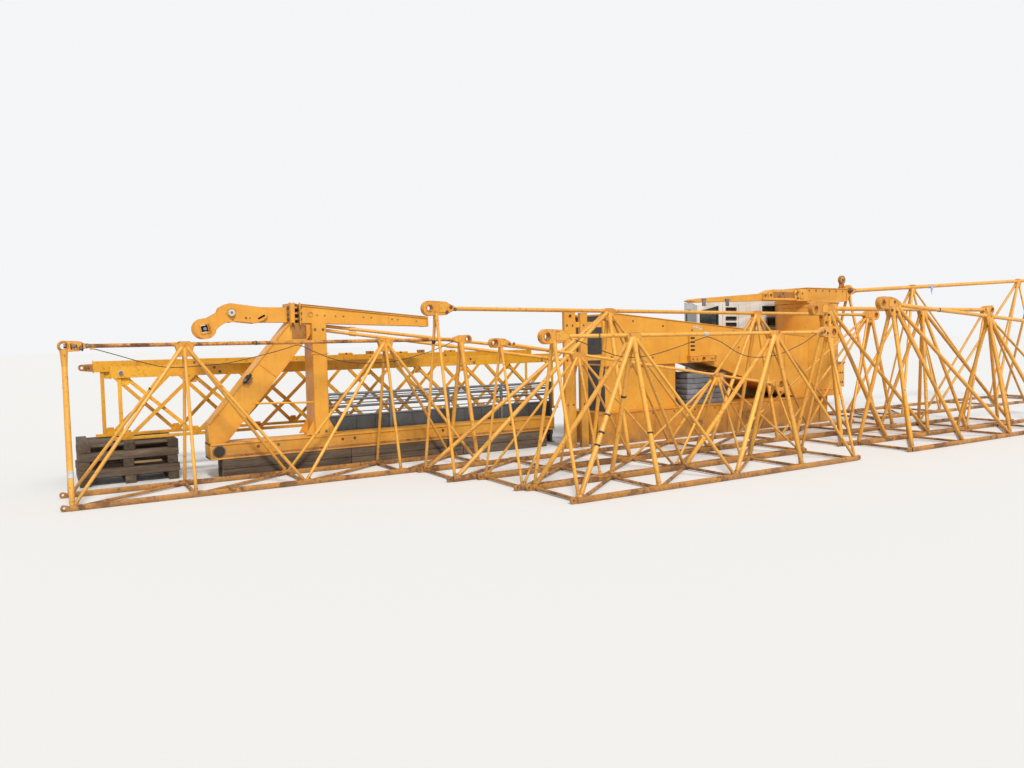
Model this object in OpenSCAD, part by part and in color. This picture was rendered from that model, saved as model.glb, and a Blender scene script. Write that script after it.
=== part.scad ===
// Dismantled tower crane, laid down in sections as it is stored.
// X runs along the sections, Y across the rows from the front one, Z is up.
// The ground is Z = 0 and the origin is the middle of the plan.

/* [Jib sections, common] */
// Width of a jib section between the centres of its two bottom chords
jib_w = 890; // [700:10:1000]
// Side of the square bottom chords
foot = 60; // [55:5:80]
// Free space between two rows that lie side by side
row_gap = 30; // [20:5:80]
// Radius of the heavy diagonals and posts
heavy_r = 29; // [24:1:32]
// Radius of the light diagonals and posts
light_r = 20; // [14:1:22]
// Radius of the cross bars between the bottom chords
cross_r = 19; // [14:1:22]
// Length of a saddle plate, which joins the bars under the top chord
saddle_len = 230; // [180:10:260]
// Depth of a saddle plate, from the centre of the top chord
saddle_h = 150; // [120:5:170]
// Thickness of a saddle plate
saddle_t = 66; // [56:2:70]

/* [Pin lugs of the jib sections] */
// Radius of the round eye
eye_r = 84; // [78:2:100]
// Radius of the pin hole
pin_r = 36; // [28:1:38]
// Thickness of the lug plate
lug_t = 80; // [72:2:84]
// Length of a lug behind its eye, in radii of the eye
lug_neck = 3.6; // [3:0.1:4]
// From the end of the chord to the centre of the pin
lug_reach = 100; // [90:5:130]
// Radius of the eye on a bottom chord
foot_eye_r = 36; // [32:2:50]
// Radius of the pin hole in a bottom chord lug
foot_pin_r = 14; // [10:1:18]
// From the end of a bottom chord to the centre of its pin
foot_reach = 50; // [40:5:80]

/* [Loose cables under the top chords of A and D] */
// Radius of a cable
cable_r = 5; // [4:0.5:6]
// Length of a clip that holds it
clip_len = 40; // [30:5:60]
// How far a clip reaches below the chord
clip_d = 8; // [6:1:12]

/* [Jib section A, front left] */
// Left end
a_x = 140; // [0:10:400]
// Length between its end frames
a_len = 5020; // [4600:50:5400]
// Height of the centre of the top chord
a_h = 1790; // [1600:10:1950]
// Radius of the top chord
a_chord_r = 24; // [22:1:34]
// From its left end to its first top joint
a_first = 1263; // [1200:1:1320]
// Between its two top joints
a_pitch = 2582; // [2500:1:2640]
// Radius of the eyes of its lugs
a_eye_r = 64; // [60:2:80]

/* [Jib section D, front right] */
// Left end
d_x = 4795; // [4400:10:4900]
// Length between its end frames
d_len = 4715; // [4600:50:5000]
// Height of the centre of the top chord
d_h = 1790; // [1600:10:1950]
// Radius of the top chord
d_chord_r = 24; // [22:1:34]
// From its left end to its first top joint
d_first = 1140; // [1100:1:1200]
// Between its two top joints
d_pitch = 2470; // [2400:1:2540]

/* [Jib section B, the tapered tip] */
// Left end
b_x = 4690; // [4400:10:4900]
// Length between its end frames
b_len = 4890; // [4400:50:5000]
// Height of the centre of the top chord at the deep end
b_h = 1730; // [1600:10:1850]
// Height of the centre of the top chord at the shallow end
b_tip_h = 1010; // [950:10:1250]
// Radius of the top chord
b_chord_r = 19; // [17:1:28]
// From its left end to its first top joint
b_first = 1150; // [1100:1:1200]
// Between its two top joints
b_pitch = 2493; // [2420:1:2560]
// Radius of its posts and diagonals
b_bar_r = 16; // [14:1:20]
// Radius of the eyes of its lugs
b_eye_r = 58; // [54:2:70]

/* [Jib section C, the long one] */
// Left end
c_x = 4300; // [4000:10:4400]
// Length between its end frames
c_len = 9140; // [9050:10:9300]
// Length of its first bay
c_first = 2820; // [2700:10:3000]
// Height of the centre of the top chord
c_h = 2190; // [2000:10:2300]
// Height of the centre of the top chord at its right end
c_end_h = 2110; // [2000:10:2200]
// Radius of the top chord
c_chord_r = 28; // [25:1:36]
// Radius of the eyes of its lugs
c_eye_r = 98; // [90:2:106]

/* [Jib section F, the root, at the right] */
// Left end
f_x = 10870; // [10840:10:10900]
// Length between its end frames
f_len = 6600; // [6400:50:6800]
// Height of the top chord at its left end
f_h = 2210; // [2150:5:2300]
// Height of the top chord at its right end
f_end_h = 1755; // [1700:5:1800]
// Radius of the top chord
f_chord_r = 31; // [28:1:40]

/* [Jib section H, behind the root] */
// Left end
h_x = 10600; // [10560:10:10660]
// Length between its end frames
h_len = 5040; // [4900:20:5300]
// Height of the centre of the top chord
h_h = 2170; // [2050:10:2250]
// Radius of the top chord
h_chord_r = 36; // [32:1:44]

/* [Head plates of sections F and H] */
// Radius of the eye of the head plate of section F
f_eye_r = 98; // [90:2:106]
// How far the head plate of section F reaches down
f_leg = 190; // [180:5:220]
// Radius of the eye of the head plate of section H
h_eye_r = 112; // [100:2:120]
// How far the head plate of section H reaches down
h_leg = 340; // [300:10:380]

/* [Mast section] */
// Length between its end frames
mast_len = 7620; // [7400:10:7800]
// Width between the centres of its bottom chords
mast_w = 1300; // [1200:10:1400]
// Height of the top chord at its right end
mast_end_h = 3060; // [2950:10:3100]
// Radius of the top chord
mast_chord_r = 42; // [38:1:46]

/* [Head frame] */
// Left end of the base beam
head_x = 1740; // [1700:10:1800]
// Length of the base beam
base_len = 5410; // [5200:10:5420]
// Height of the timbers under the base beam
base_z = 270; // [240:10:290]
// Depth of the base beam
base_d = 210; // [180:10:230]
// Width of the base beam and of the column
head_w = 400; // [360:10:420]
// Thickness of the flanges of the arm
flange_t = 24; // [16:2:30]
// Left side of the column
col_left = 3130; // [3100:10:3160]
// Width of the column, seen from the front
column_w = 195; // [180:5:220]
// Left end of the arm
arm_x = 2970; // [2960:2:2980]
// Height of the underside of the arm at its left end
arm_z = 2058; // [2040:2:2080]
// Depth of the arm at its left end
arm_d = 260; // [240:10:280]
// Depth of the arm at its right end
arm_tip_d = 140; // [120:10:160]
// Length of the arm
arm_len = 1940; // [1850:10:2000]
// How far the underside of the arm falls over its length
arm_fall = 60; // [40:2:80]
// Free space between the end plate and the arm
plate_gap = 75; // [60:5:80]
// Thickness of the end plate
plate_t = 58; // [50:2:64]
// Depth of the slanting strut
strut_d = 320; // [290:10:340]
// Thickness of the web of the arm
arm_web_t = 40; // [30:2:60]
// Number of holes in that web
arm_holes = 8; // [6:1:10]
// Radius of those holes and of the bolts of the end plate
arm_hole_r = 14; // [12:1:18]
// Slope of the strut
strut_angle = 50.5; // [50:0.5:51]
// Thickness of each curved lug plate
horn_t = 45; // [40:5:60]
// Free space between the two curved lug plates
horn_gap = 170; // [150:10:190]
// Radius of the eye of the lug plates
horn_eye_r = 136; // [130:2:142]
// Side of the square hole in that eye
horn_hole = 104; // [90:2:112]
// Radius of the hump around the pin
horn_hump_r = 126; // [120:2:130]
// Radius of the pin that crosses the lug plates
horn_pin_r = 40; // [34:1:46]

/* [Tie bars] */
// Radius of a tie bar
tie_r = 24; // [20:1:28]
// Height of the right end of the upper bar
tie_z = 1555; // [1500:5:1600]
// How far the lower bar ends below the upper one
tie_drop = 130; // [110:5:160]

/* [Counter jib] */
// Left end
cj_x = 500; // [450:10:560]
// Length of its two girders
cj_len = 7280; // [7200:50:7600]
// Height of the timbers that it stands on
timber_top = 540; // [480:20:600]
// Height of its front girder over the timbers
cj_h = 975; // [940:5:1020]
// How much higher the rear girder lies
cj_step = 70; // [50:5:90]
// Between the centres of its two trusses
cj_w = 600; // [560:10:640]
// How far the rear truss starts before the front one
cj_lead = 170; // [140:10:200]
// Depth of a girder
girder_h = 150; // [130:5:170]
// Width of a girder
girder_w = 90; // [80:5:110]
// Thickness of its flanges and web
beam_t = 18; // [12:1:24]
// Number of braced bays
cj_bays = 8; // [7:1:9]
// Radius of the bracing
brace_r = 24; // [20:1:28]

/* [Timber bearers] */
// Length of a timber along the rows
timber_len = 1200; // [1150:50:1300]
// Width of a stack across the rows
timber_w = 1250; // [1150:50:1300]
// Width of the two timbers under the base beam
base_timber = 150; // [120:10:170]
// Layers in a stack
timber_layers = 5; // [3:2:5]

/* [Guard rails] */
// Left end
rail_x = 3440; // [3400:10:3500]
// Length of the stored rail panels
rail_len = 3960; // [3900:10:4000]
// Height of the panels
rail_h = 1040; // [1000:10:1080]
// Radius of the rail tubes
rail_r = 20; // [16:1:24]

/* [Slewing upper works] */
// Left end of the end posts
girder_x = 7055; // [7030:5:7080]
// Free space between section C and the bottom box
bed_clear = 505; // [480:5:530]
// Left end of the bottom box
bed_x = 7650; // [7600:10:7700]
// Length of the bottom box
bed_len = 5820; // [5700:10:5900]
// Height of the bottom box
bed_h = 540; // [520:10:560]
// Width of the bottom box
bed_w = 940; // [900:10:960]
// Width of the plate girder
web_w = 800; // [760:10:820]
// Thickness of the plates of the girder
web_t = 30; // [24:2:40]
// Left end of the plate girder
web_x = 7820; // [7800:10:7840]
// Height of the top edge of the plate girder at its left end
web_top = 2163; // [2140:1:2180]
// Where that edge starts to fall
web_flat = 8130; // [8100:10:8200]
// Fall of that edge for each metre
web_fall = 92; // [80:2:100]
// Height of the lower edge of the plate girder at its left end
web_low = 1310; // [1290:10:1330]
// Where the lower edge starts to fall
web_knee = 10100; // [10000:20:10200]
// Where it meets the top of the bottom box
web_foot = 12600; // [12500:20:12650]
// Length of the lower box under the left end
low_len = 1560; // [1500:20:1580]
// Width of the first end post
post_w = 213; // [200:1:220]
// Width of the second end post
post_w2 = 140; // [130:2:150]
// Free space between the end posts
post_gap = 100; // [90:5:110]
// Thickness of the end posts
post_t = 60; // [50:5:80]
// Centre of the slewing column
col_mid = 13420; // [13400:5:13440]
// Radius of the slewing column
col_r = 605; // [590:5:620]
// Radius of the ring at its foot
ring_r = 680; // [660:5:700]
// Height of that ring
ring_h = 110; // [90:5:130]
// Width of the bracket beside the column
bracket_w = 440; // [400:10:480]
// How far it stands out from the column
bracket_len = 330; // [300:10:360]
// Height of the bracket
bracket_h = 500; // [450:10:550]
// Height of the top of the slewing column
col_top = 2430; // [2420:5:2440]
// Left end of the head box on the column
cap_x = 12940; // [12920:5:12960]
// Length of the head box, without its fork
cap_len = 1250; // [1200:10:1290]
// Height of the head box
cap_h = 265; // [250:5:280]
// Width of the head box
cap_w = 780; // [740:10:800]
// Radius of the fork at its right end
fork_r = 115; // [105:5:125]
// Thickness of each plate of the fork
fork_t = 60; // [50:5:70]
// Left end of the beam over the cab
beam_x = 9940; // [9900:10:9980]
// Where its underside gets level
beam_knee = 11760; // [11700:10:11800]
// Length of its thin tip on the left
beam_tip = 110; // [90:10:140]
// Height of the beam at its right end
beam_h = 225; // [215:5:235]
// Depth of the two clips that hang from it
clip_h = 120; // [100:10:130]
// Width of the beam over the cab
beam_w = 200; // [180:10:220]
// Radius of the small sheave on the head box
sheave_r = 84; // [78:2:90]

/* [Ballast slabs] */
// Left end of the stack
slab_x = 9700; // [9660:10:9720]
// Length of a slab
slab_len = 960; // [900:10:1000]
// Height of a slab
slab_h = 190; // [180:5:190]
// How far each slab lies to the right of the one under it
slab_step = 12; // [0:2:20]
// Width of a slab
slab_w = 760; // [700:10:800]

/* [Cab] */
// Left end of the cab, at the front
cab_x = 11030; // [11000:5:11060]
// Length of the cab
cab_len = 2345; // [2320:5:2360]
// Width of the cab
cab_w = 1050; // [950:10:1100]
// Height of the frame that the cab stands on
cab_z = 300; // [260:10:340]
// How much lower the roof is at the front
cab_drop = 150; // [120:10:170]
// Height of the roof of the cab
cab_top = 2515; // [2500:5:2540]
// How far the front of the cab sweeps back over its width, in degrees
cab_sweep = 32; // [28:1:34]
// Thickness of the walls of the cab
wall = 50; // [40:5:60]
// Thickness of the window panes
pane_t = 8; // [6:1:10]

/* [Hidden] */
tube_n = 12;
bar_n = 8;
big = 40000;
paint = [0.92, 0.66, 0.20];
paint_dark = [0.80, 0.50, 0.12];
zinc = [0.45, 0.48, 0.50];
white = [0.90, 0.90, 0.88];

// Rows, from the front: each is laid against the one before it
outer = jib_w + foot;
row_d = outer / 2;
row_b = row_d + outer + row_gap;
row_c = row_b + outer + row_gap;
row_a = row_c + outer + row_gap;
row_head = row_a + outer / 2 + 2 * row_gap + head_w / 2;
row_rails = row_head + head_w / 2 + 2 * row_gap;
row_back = row_rails + 2 * row_gap + timber_w / 2;
row_bed = row_c + outer / 2 + bed_clear + bed_w / 2;
row_mast = row_bed - cap_w / 2 + beam_w / 2;
row_cab = row_bed + ring_r + row_gap / 2 + cab_w / 2;

// The pin in the fork of the head box holds the start lug of the mast section
fork_x = cap_x + cap_len + 0.7 * fork_r;
fork_z = col_top + cap_h * 0.85;
mast_x = fork_x + lug_reach;

// The middle of the plan
left_edge = a_x - foot / 2 - foot_reach - foot_eye_r;
right_edge = mast_x + mast_len + lug_reach + eye_r;
back_edge = row_back + timber_w / 2;
mid_x = (left_edge + right_edge) / 2;
mid_y = back_edge / 2;

module at(x, y) translate([x - mid_x, y - mid_y, 0]) children();

// A straight bar with few sides from point p to point q
module bar(p, q, r, n = bar_n) {
    v = q - p;
    len = norm(v);
    translate(p)
        rotate([0, acos(v[2] / len), atan2(v[1], v[0])])
            rotate([0, 0, 180 / n]) cylinder(h = len, r = r, $fn = n);
}

// A flat lug in the XZ plane, eye at the origin: it runs along +X and narrows to the chord
module eye_plate(r, hole, neck_h) across(lug_t) difference() {
    union() {
        circle(r = r, $fn = 48);
        polygon([[0, -r], [0, r], [lug_neck * r * 0.65, 0.88 * r], [lug_neck * r, neck_h],
            [lug_neck * r, -neck_h], [lug_neck * r * 0.65, -0.88 * r]]);
    }
    if (hole > 0) circle(r = hole, $fn = 48);
}

// Outlines drawn in X and Z and extruded across the row
module across(w) rotate([90, 0, 0]) translate([0, 0, -w / 2]) linear_extrude(w) children();

// The head plate of a root section, eye at the origin, with a leg that holds the bars
module head_plate(r, hole, leg) across(lug_t) difference() {
    union() {
        circle(r = r, $fn = 48);
        polygon([[0, r], [2.1 * r, 0.95 * r], [3.4 * r, 0.65 * r], [4.6 * r, 0],
            [4.6 * r, -0.9 * r], [4.3 * r, -leg], [1.8 * r, -leg], [1.5 * r, -0.95 * r], [0, -r]]);
    }
    if (hole > 0) circle(r = hole, $fn = 48);
}

// A saddle plate under the top chord, centred on x
module saddle(x, z) translate([x, 0, z]) across(saddle_t)
    polygon([[-saddle_len / 2, 0], [saddle_len / 2, 0],
        [saddle_len * 0.3, -saddle_h], [-saddle_len * 0.3, -saddle_h]]);

// The top chord of a section: a tube along its profile, a lug at each end and the saddles.
// A lug is [radius of the eye, from the end of the chord to the pin], and a head plate has
// the depth of its leg as a third number.
function plain_lugs(r) = [[r, lug_reach], [r, lug_reach]];
module chord_body(profile, r, bars, lugs, hole) {
    start = profile[0];
    end = profile[1];
    bar([start[0], 0, start[1]], [end[0], 0, end[1]], r, tube_n);
    translate([start[0] - lugs[0][1], 0, start[1]])
        if (len(lugs[0]) > 2) head_plate(lugs[0][0], hole, lugs[0][2]);
        else eye_plate(lugs[0][0], hole, r * 0.9);
    translate([end[0] + lugs[1][1], 0, end[1]])
        mirror([1, 0, 0]) eye_plate(lugs[1][0], hole, r * 0.9);
    for (b = bars) if (len(b) > 3) saddle(b[0], lookup(b[0], profile));
}

module top_chord(profile, r, bars, lugs) color(paint) chord_body(profile, r, bars, lugs, pin_r);

// One sloping side of a section: bars from the top chord to a bottom chord,
// coped against both chords and cut on the middle plane
module side(profile, w, bars, r, hand, lugs) {
    color(paint) difference() {
        for (b = bars)
            bar([b[0], 0, lookup(b[0], profile)], [b[1], hand * w / 2, foot / 2], b[2]);
        chord_body(profile, r, bars, lugs, 0);
        bottom_chord(-foot, profile[1][0] + foot, w, hand);
        translate([-big / 2, hand > 0 ? -big : 0, -big / 2]) cube([big, big, big]);
    }
}

module bottom_chord(x1, x2, w, hand)
    translate([x1, hand * w / 2 - foot / 2, 0]) cube([x2 - x1, foot, foot]);

// The bottom of a section: two chords with a lug at each end, cross bars and diagonals
module bottom_frame(length, w, stations) {
    color(paint_dark) {
        for (hand = [-1, 1]) {
            bottom_chord(-foot / 2, length + foot / 2, w, hand);
            for (end = [0, 1]) translate([end * length, hand * w / 2, foot_eye_r])
                mirror([end == 0 ? 0 : 1, 0, 0])
                    translate([-foot / 2 - foot_reach, 0, 0])
                        foot_lug();
        }
        for (x = stations)
            bar([x, -w / 2, foot / 2], [x, w / 2, foot / 2], cross_r);
        for (i = [1:len(stations) - 1])
            bar([stations[i - 1], -w / 2, foot / 2], [stations[i], w / 2, foot / 2], cross_r);
    }
}

module foot_lug()
    rotate([90, 0, 0]) translate([0, 0, -foot / 4]) linear_extrude(foot / 2) difference() {
        union() {
            circle(r = foot_eye_r, $fn = 32);
            translate([0, -foot_eye_r]) square([foot_reach + 1, foot_eye_r + foot / 4]);
        }
        circle(r = foot_pin_r, $fn = 32);
    }

// The bars of a section with two top joints: [x at the top, x at the bottom, radius, saddle]
function zigzag(length, first, pitch, post, r1, r2, r3) = [[0, 0, post], [first, 0, r1, true],
    [first, first, r2], [first, first + pitch / 2, r3],
    [first + pitch, first + pitch / 2, r1, true], [first + pitch, first + pitch, r2],
    [first + pitch, length, r3], [length, length, post]];
function joints(length, first, pitch) = [0, first, first + pitch / 2, first + pitch, length];

// A loose cable hangs between clips under a chord: [along the section, drop] of its route
a_route = [[300, 0], [345, -12], [590, -95], [851, -185], [1094, -240], [1404, -232], [1770, -205],
    [2152, -125], [2470, -45], [2570, -12], [2630, 0], [2690, -12], [2827, -80], [3059, -180], [3333, -250],
    [3631, -268], [3909, -255], [4096, -230], [4380, -168], [4617, -100], [4780, -40], [4845, -12], [4890, 0]];
d_route = [[285, 0], [330, -12], [550, -88], [854, -190], [1132, -226], [1435, -206], [1803, -130],
    [2086, -60], [2290, -12], [2355, 0], [2420, -12], [2605, -70], [2805, -170], [2982, -240], [3227, -285],
    [3618, -270], [3920, -200], [4205, -110], [4360, -40], [4420, -12], [4465, 0]];
function near_point(route, i) = route[max(0, min(len(route) - 1, i))];
function curve_at(route, i, t) = let (a = near_point(route, i - 1), b = near_point(route, i),
    c = near_point(route, i + 1), d = near_point(route, i + 2))
        (2 * b + (c - a) * t + (2 * a - 5 * b + 4 * c - d) * t * t + (3 * b - a - 3 * c + d) * t * t * t) / 2;
function smooth_route(route, n) = concat([for (i = [0:len(route) - 2], k = [0:n - 1])
    curve_at(route, i, k / n)], [route[len(route) - 1]]);
function slope_at(line, i) = i == 0 || i == len(line) - 1 ? [1, 0]
    : let (d = line[i + 1] - line[i - 1]) d / norm(d);
module swept(line, r, n = 8) polyhedron(
    points = [for (i = [0:len(line) - 1], k = [0:n - 1]) let (d = slope_at(line, i), a = (k + 0.5) * 360 / n)
        [line[i][0] - d[1] * r * sin(a), r * cos(a), line[i][1] + d[0] * r * sin(a)]],
    faces = concat([[for (k = [0:n - 1]) k]], [[for (k = [n - 1:-1:0]) (len(line) - 1) * n + k]],
        [for (i = [0:len(line) - 2], k = [0:n - 1])
            [i * n + k, (i + 1) * n + k, (i + 1) * n + (k + 1) % n, i * n + (k + 1) % n]]));
module hung_cable(route, h, r) color([0.24, 0.16, 0.12])
    translate([0, 0, h - r - clip_d - cable_r]) swept(smooth_route(route, 2), cable_r / cos(22.5));

// A clip at each end of a cable, and one at the highest point between
module cable_clips(route, middle, h, r) difference() {
    for (c = [[route[0][0] - clip_len, 2.5 * cable_r], [route[len(route) - 1][0], 2.5 * cable_r],
        [middle - clip_len / 2, 0]])
            translate([c[0], -r * 0.6, h - r - clip_d - c[1]]) cube([clip_len, 1.2 * r, r + clip_d + c[1]]);
    bar([0, 0, h], [route[len(route) - 1][0] + 2 * clip_len, 0, h], r, tube_n);
}

a_profile = [[0, a_h], [a_len, a_h]];
a_lugs = [[a_eye_r, 0], [a_eye_r, lug_reach]];
a_bars = zigzag(a_len, a_first, a_pitch, heavy_r, light_r, light_r, light_r);
module jib_a_top_chord() at(a_x, row_a) {
    top_chord(a_profile, a_chord_r, a_bars, a_lugs);
    color(paint) cable_clips(a_route, a_route[10][0], a_h, a_chord_r);
}
module jib_a_cable() at(a_x, row_a) hung_cable(a_route, a_h, a_chord_r);
module jib_a_near_side() at(a_x, row_a) side(a_profile, jib_w, a_bars, a_chord_r, -1, a_lugs);
module jib_a_far_side() at(a_x, row_a) side(a_profile, jib_w, a_bars, a_chord_r, 1, a_lugs);
module jib_a_bottom_frame() at(a_x, row_a) bottom_frame(a_len, jib_w, joints(a_len, a_first, a_pitch));

d_profile = [[0, d_h], [d_len, d_h]];
d_lugs = plain_lugs(eye_r);
d_bars = zigzag(d_len, d_first, d_pitch, light_r, heavy_r, heavy_r, light_r);
module jib_d_top_chord() at(d_x, row_d) {
    top_chord(d_profile, d_chord_r, d_bars, d_lugs);
    color(paint) cable_clips(d_route, d_route[9][0], d_h, d_chord_r);
}
module jib_d_cable() at(d_x, row_d) hung_cable(d_route, d_h, d_chord_r);
module jib_d_near_side() at(d_x, row_d) side(d_profile, jib_w, d_bars, d_chord_r, -1, d_lugs);
module jib_d_far_side() at(d_x, row_d) side(d_profile, jib_w, d_bars, d_chord_r, 1, d_lugs);
module jib_d_bottom_frame() at(d_x, row_d) bottom_frame(d_len, jib_w, joints(d_len, d_first, d_pitch));

b_profile = [[0, b_h], [b_len, b_tip_h]];
b_lugs = plain_lugs(b_eye_r);
b_bars = zigzag(b_len, b_first, b_pitch, b_bar_r, b_bar_r, b_bar_r, b_bar_r);
module jib_b_top_chord() at(b_x, row_b) top_chord(b_profile, b_chord_r, b_bars, b_lugs);
module jib_b_near_side() at(b_x, row_b) side(b_profile, jib_w, b_bars, b_chord_r, -1, b_lugs);
module jib_b_far_side() at(b_x, row_b) side(b_profile, jib_w, b_bars, b_chord_r, 1, b_lugs);
module jib_b_bottom_frame() at(b_x, row_b) bottom_frame(b_len, jib_w, joints(b_len, b_first, b_pitch));

// Section C has three long bays, with its posts under the top joints
c_profile = [[0, c_h], [c_len, c_end_h]];
c_bay = (c_len - c_first) / 2;
c_second = c_first + c_bay;
c_lugs = plain_lugs(c_eye_r);
c_bars = [[0, 0, light_r], [c_first, 0, heavy_r, true], [c_first, c_first, heavy_r],
    [c_first, c_first + c_bay / 2, light_r], [c_second, c_first + c_bay / 2, heavy_r, true],
    [c_second, c_second, heavy_r], [c_second, c_second + c_bay * 0.6, light_r],
    [c_len - lug_reach, c_second, light_r, true], [c_len - lug_reach, c_second + c_bay * 0.6, light_r],
    [c_len, c_len, heavy_r]];
c_stations = [0, c_first / 2, c_first, c_first + c_bay / 2, c_second, c_second + c_bay * 0.6, c_len];
module jib_c_top_chord() at(c_x, row_c) top_chord(c_profile, c_chord_r, c_bars, c_lugs);
module jib_c_near_side() at(c_x, row_c) side(c_profile, jib_w, c_bars, c_chord_r, -1, c_lugs);
module jib_c_far_side() at(c_x, row_c) side(c_profile, jib_w, c_bars, c_chord_r, 1, c_lugs);
module jib_c_bottom_frame() at(c_x, row_c) bottom_frame(c_len, jib_w, c_stations);

// Section F falls away from its head plate
f_profile = [[0, f_h], [f_len, f_end_h]];
f_lugs = [[f_eye_r, lug_reach, f_leg], [eye_r, lug_reach]];
f_top = f_eye_r * 3 - lug_reach;
f_bars = [[f_top * 0.8, 0, heavy_r], [f_top, f_len * 0.205, heavy_r], [f_top * 1.2, f_len * 0.42, heavy_r],
    [f_len * 0.44, f_len * 0.42, heavy_r, true], [f_len * 0.44, f_len * 0.63, heavy_r],
    [f_len * 0.44, f_len * 0.82, light_r], [f_len - lug_reach, f_len * 0.82, light_r, true],
    [f_len, f_len, heavy_r]];
f_stations = [0, f_len * 0.205, f_len * 0.42, f_len * 0.63, f_len * 0.82, f_len];
module jib_f_top_chord() at(f_x, row_d) top_chord(f_profile, f_chord_r, f_bars, f_lugs);
module jib_f_near_side() at(f_x, row_d) side(f_profile, jib_w, f_bars, f_chord_r, -1, f_lugs);
module jib_f_far_side() at(f_x, row_d) side(f_profile, jib_w, f_bars, f_chord_r, 1, f_lugs);
module jib_f_bottom_frame() at(f_x, row_d) bottom_frame(f_len, jib_w, f_stations);

// Section H starts with a deep head plate
h_profile = [[0, h_h], [h_len, h_h]];
h_lugs = [[h_eye_r, lug_reach, h_leg], [eye_r, lug_reach]];
h_top = h_eye_r * 3 - lug_reach;
h_bars = [[h_top, 0, heavy_r], [h_top, h_len * 0.23, heavy_r], [h_top * 1.2, h_len * 0.46, heavy_r],
    [h_len * 0.57, h_len * 0.46, heavy_r, true], [h_len * 0.57, h_len * 0.7, heavy_r],
    [h_len * 0.57, h_len, heavy_r], [h_len - lug_reach, h_len * 0.7, light_r, true],
    [h_len, h_len, heavy_r]];
h_stations = [0, h_len * 0.23, h_len * 0.46, h_len * 0.7, h_len];
module jib_h_top_chord() at(h_x, row_b) top_chord(h_profile, h_chord_r, h_bars, h_lugs);
module jib_h_near_side() at(h_x, row_b) side(h_profile, jib_w, h_bars, h_chord_r, -1, h_lugs);
module jib_h_far_side() at(h_x, row_b) side(h_profile, jib_w, h_bars, h_chord_r, 1, h_lugs);
module jib_h_bottom_frame() at(h_x, row_b) bottom_frame(h_len, jib_w, h_stations);

// The mast section lies behind them, pinned to the fork of the head box
mast_profile = [[0, fork_z], [mast_len, mast_end_h]];
mast_lugs = plain_lugs(eye_r);
mast_bars = [[0, 0, heavy_r], [mast_len * 0.3, mast_len * 0.12, heavy_r, true],
    [mast_len * 0.3, mast_len * 0.3, light_r], [mast_len * 0.3, mast_len * 0.6, light_r],
    [mast_len * 0.9, mast_len * 0.6, heavy_r, true], [mast_len * 0.9, mast_len * 0.9, light_r],
    [mast_len, mast_len, heavy_r]];
mast_stations = [0, mast_len * 0.12, mast_len * 0.3, mast_len * 0.6, mast_len * 0.9, mast_len];
module mast_top_chord() at(mast_x, row_mast) top_chord(mast_profile, mast_chord_r, mast_bars, mast_lugs);
module mast_near_side() at(mast_x, row_mast)
    side(mast_profile, mast_w, mast_bars, mast_chord_r, -1, mast_lugs);
module mast_far_side() at(mast_x, row_mast)
    side(mast_profile, mast_w, mast_bars, mast_chord_r, 1, mast_lugs);
module mast_bottom_frame() at(mast_x, row_mast)
    bottom_frame(mast_len, mast_w, mast_stations);

// Head frame
function arm_under(x) = arm_z - (x - arm_x) * arm_fall / arm_len;
base_top = base_z + base_d;
col_right = col_left + column_w;
plate_x = arm_x - plate_gap - plate_t;

module head_base_beam() at(0, row_head) color(paint)
    translate([head_x, -head_w / 2, base_z]) cube([base_len, head_w, base_d]);

module head_column() at(0, row_head) color(paint) across(head_w)
    polygon([[col_left, base_top], [col_right, base_top], [col_right, arm_under(col_right)],
        [col_left, arm_under(col_left)]]);

// The slanting strut runs from the base beam up to the end plate and the column
strut_v = strut_d / cos(strut_angle);
function strut_z(x) = arm_z + (x - plate_x) * tan(strut_angle);
module head_strut() at(0, row_head) color(paint) across(head_w * 0.6)
    polygon([[head_x, base_top],
        [plate_x + (base_top - arm_z + strut_v) / tan(strut_angle), base_top],
        [col_left, strut_z(col_left) - strut_v], [col_left, arm_under(col_left)],
        [arm_x, arm_z], [plate_x, arm_z], [head_x, strut_z(head_x)]]);

// The arm is an I beam that tapers to the right, with a row of holes in its web
module arm_outline(low, high) polygon([[arm_x, arm_z + low], [arm_x + arm_len, arm_z - arm_fall + low],
    [arm_x + arm_len, arm_z - arm_fall + arm_tip_d + high], [arm_x, arm_z + arm_d + high]]);
module head_arm() at(0, row_head) color(paint) difference() {
    union() {
        across(arm_web_t) arm_outline(0, 0);
        across(head_w * 0.7) difference() {
            arm_outline(0, 0);
            arm_outline(flange_t, -flange_t);
        }
        translate([arm_x, -head_w * 0.4, arm_z]) cube([flange_t, head_w * 0.8, arm_d]);
    }
    for (k = [1:arm_holes]) across(head_w)
        translate([arm_x + arm_len * k / (arm_holes + 1),
            arm_z + arm_d * 0.5 - arm_len * 0.045 * k / (arm_holes + 1)])
                circle(r = arm_hole_r, $fn = 24);
}

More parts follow.
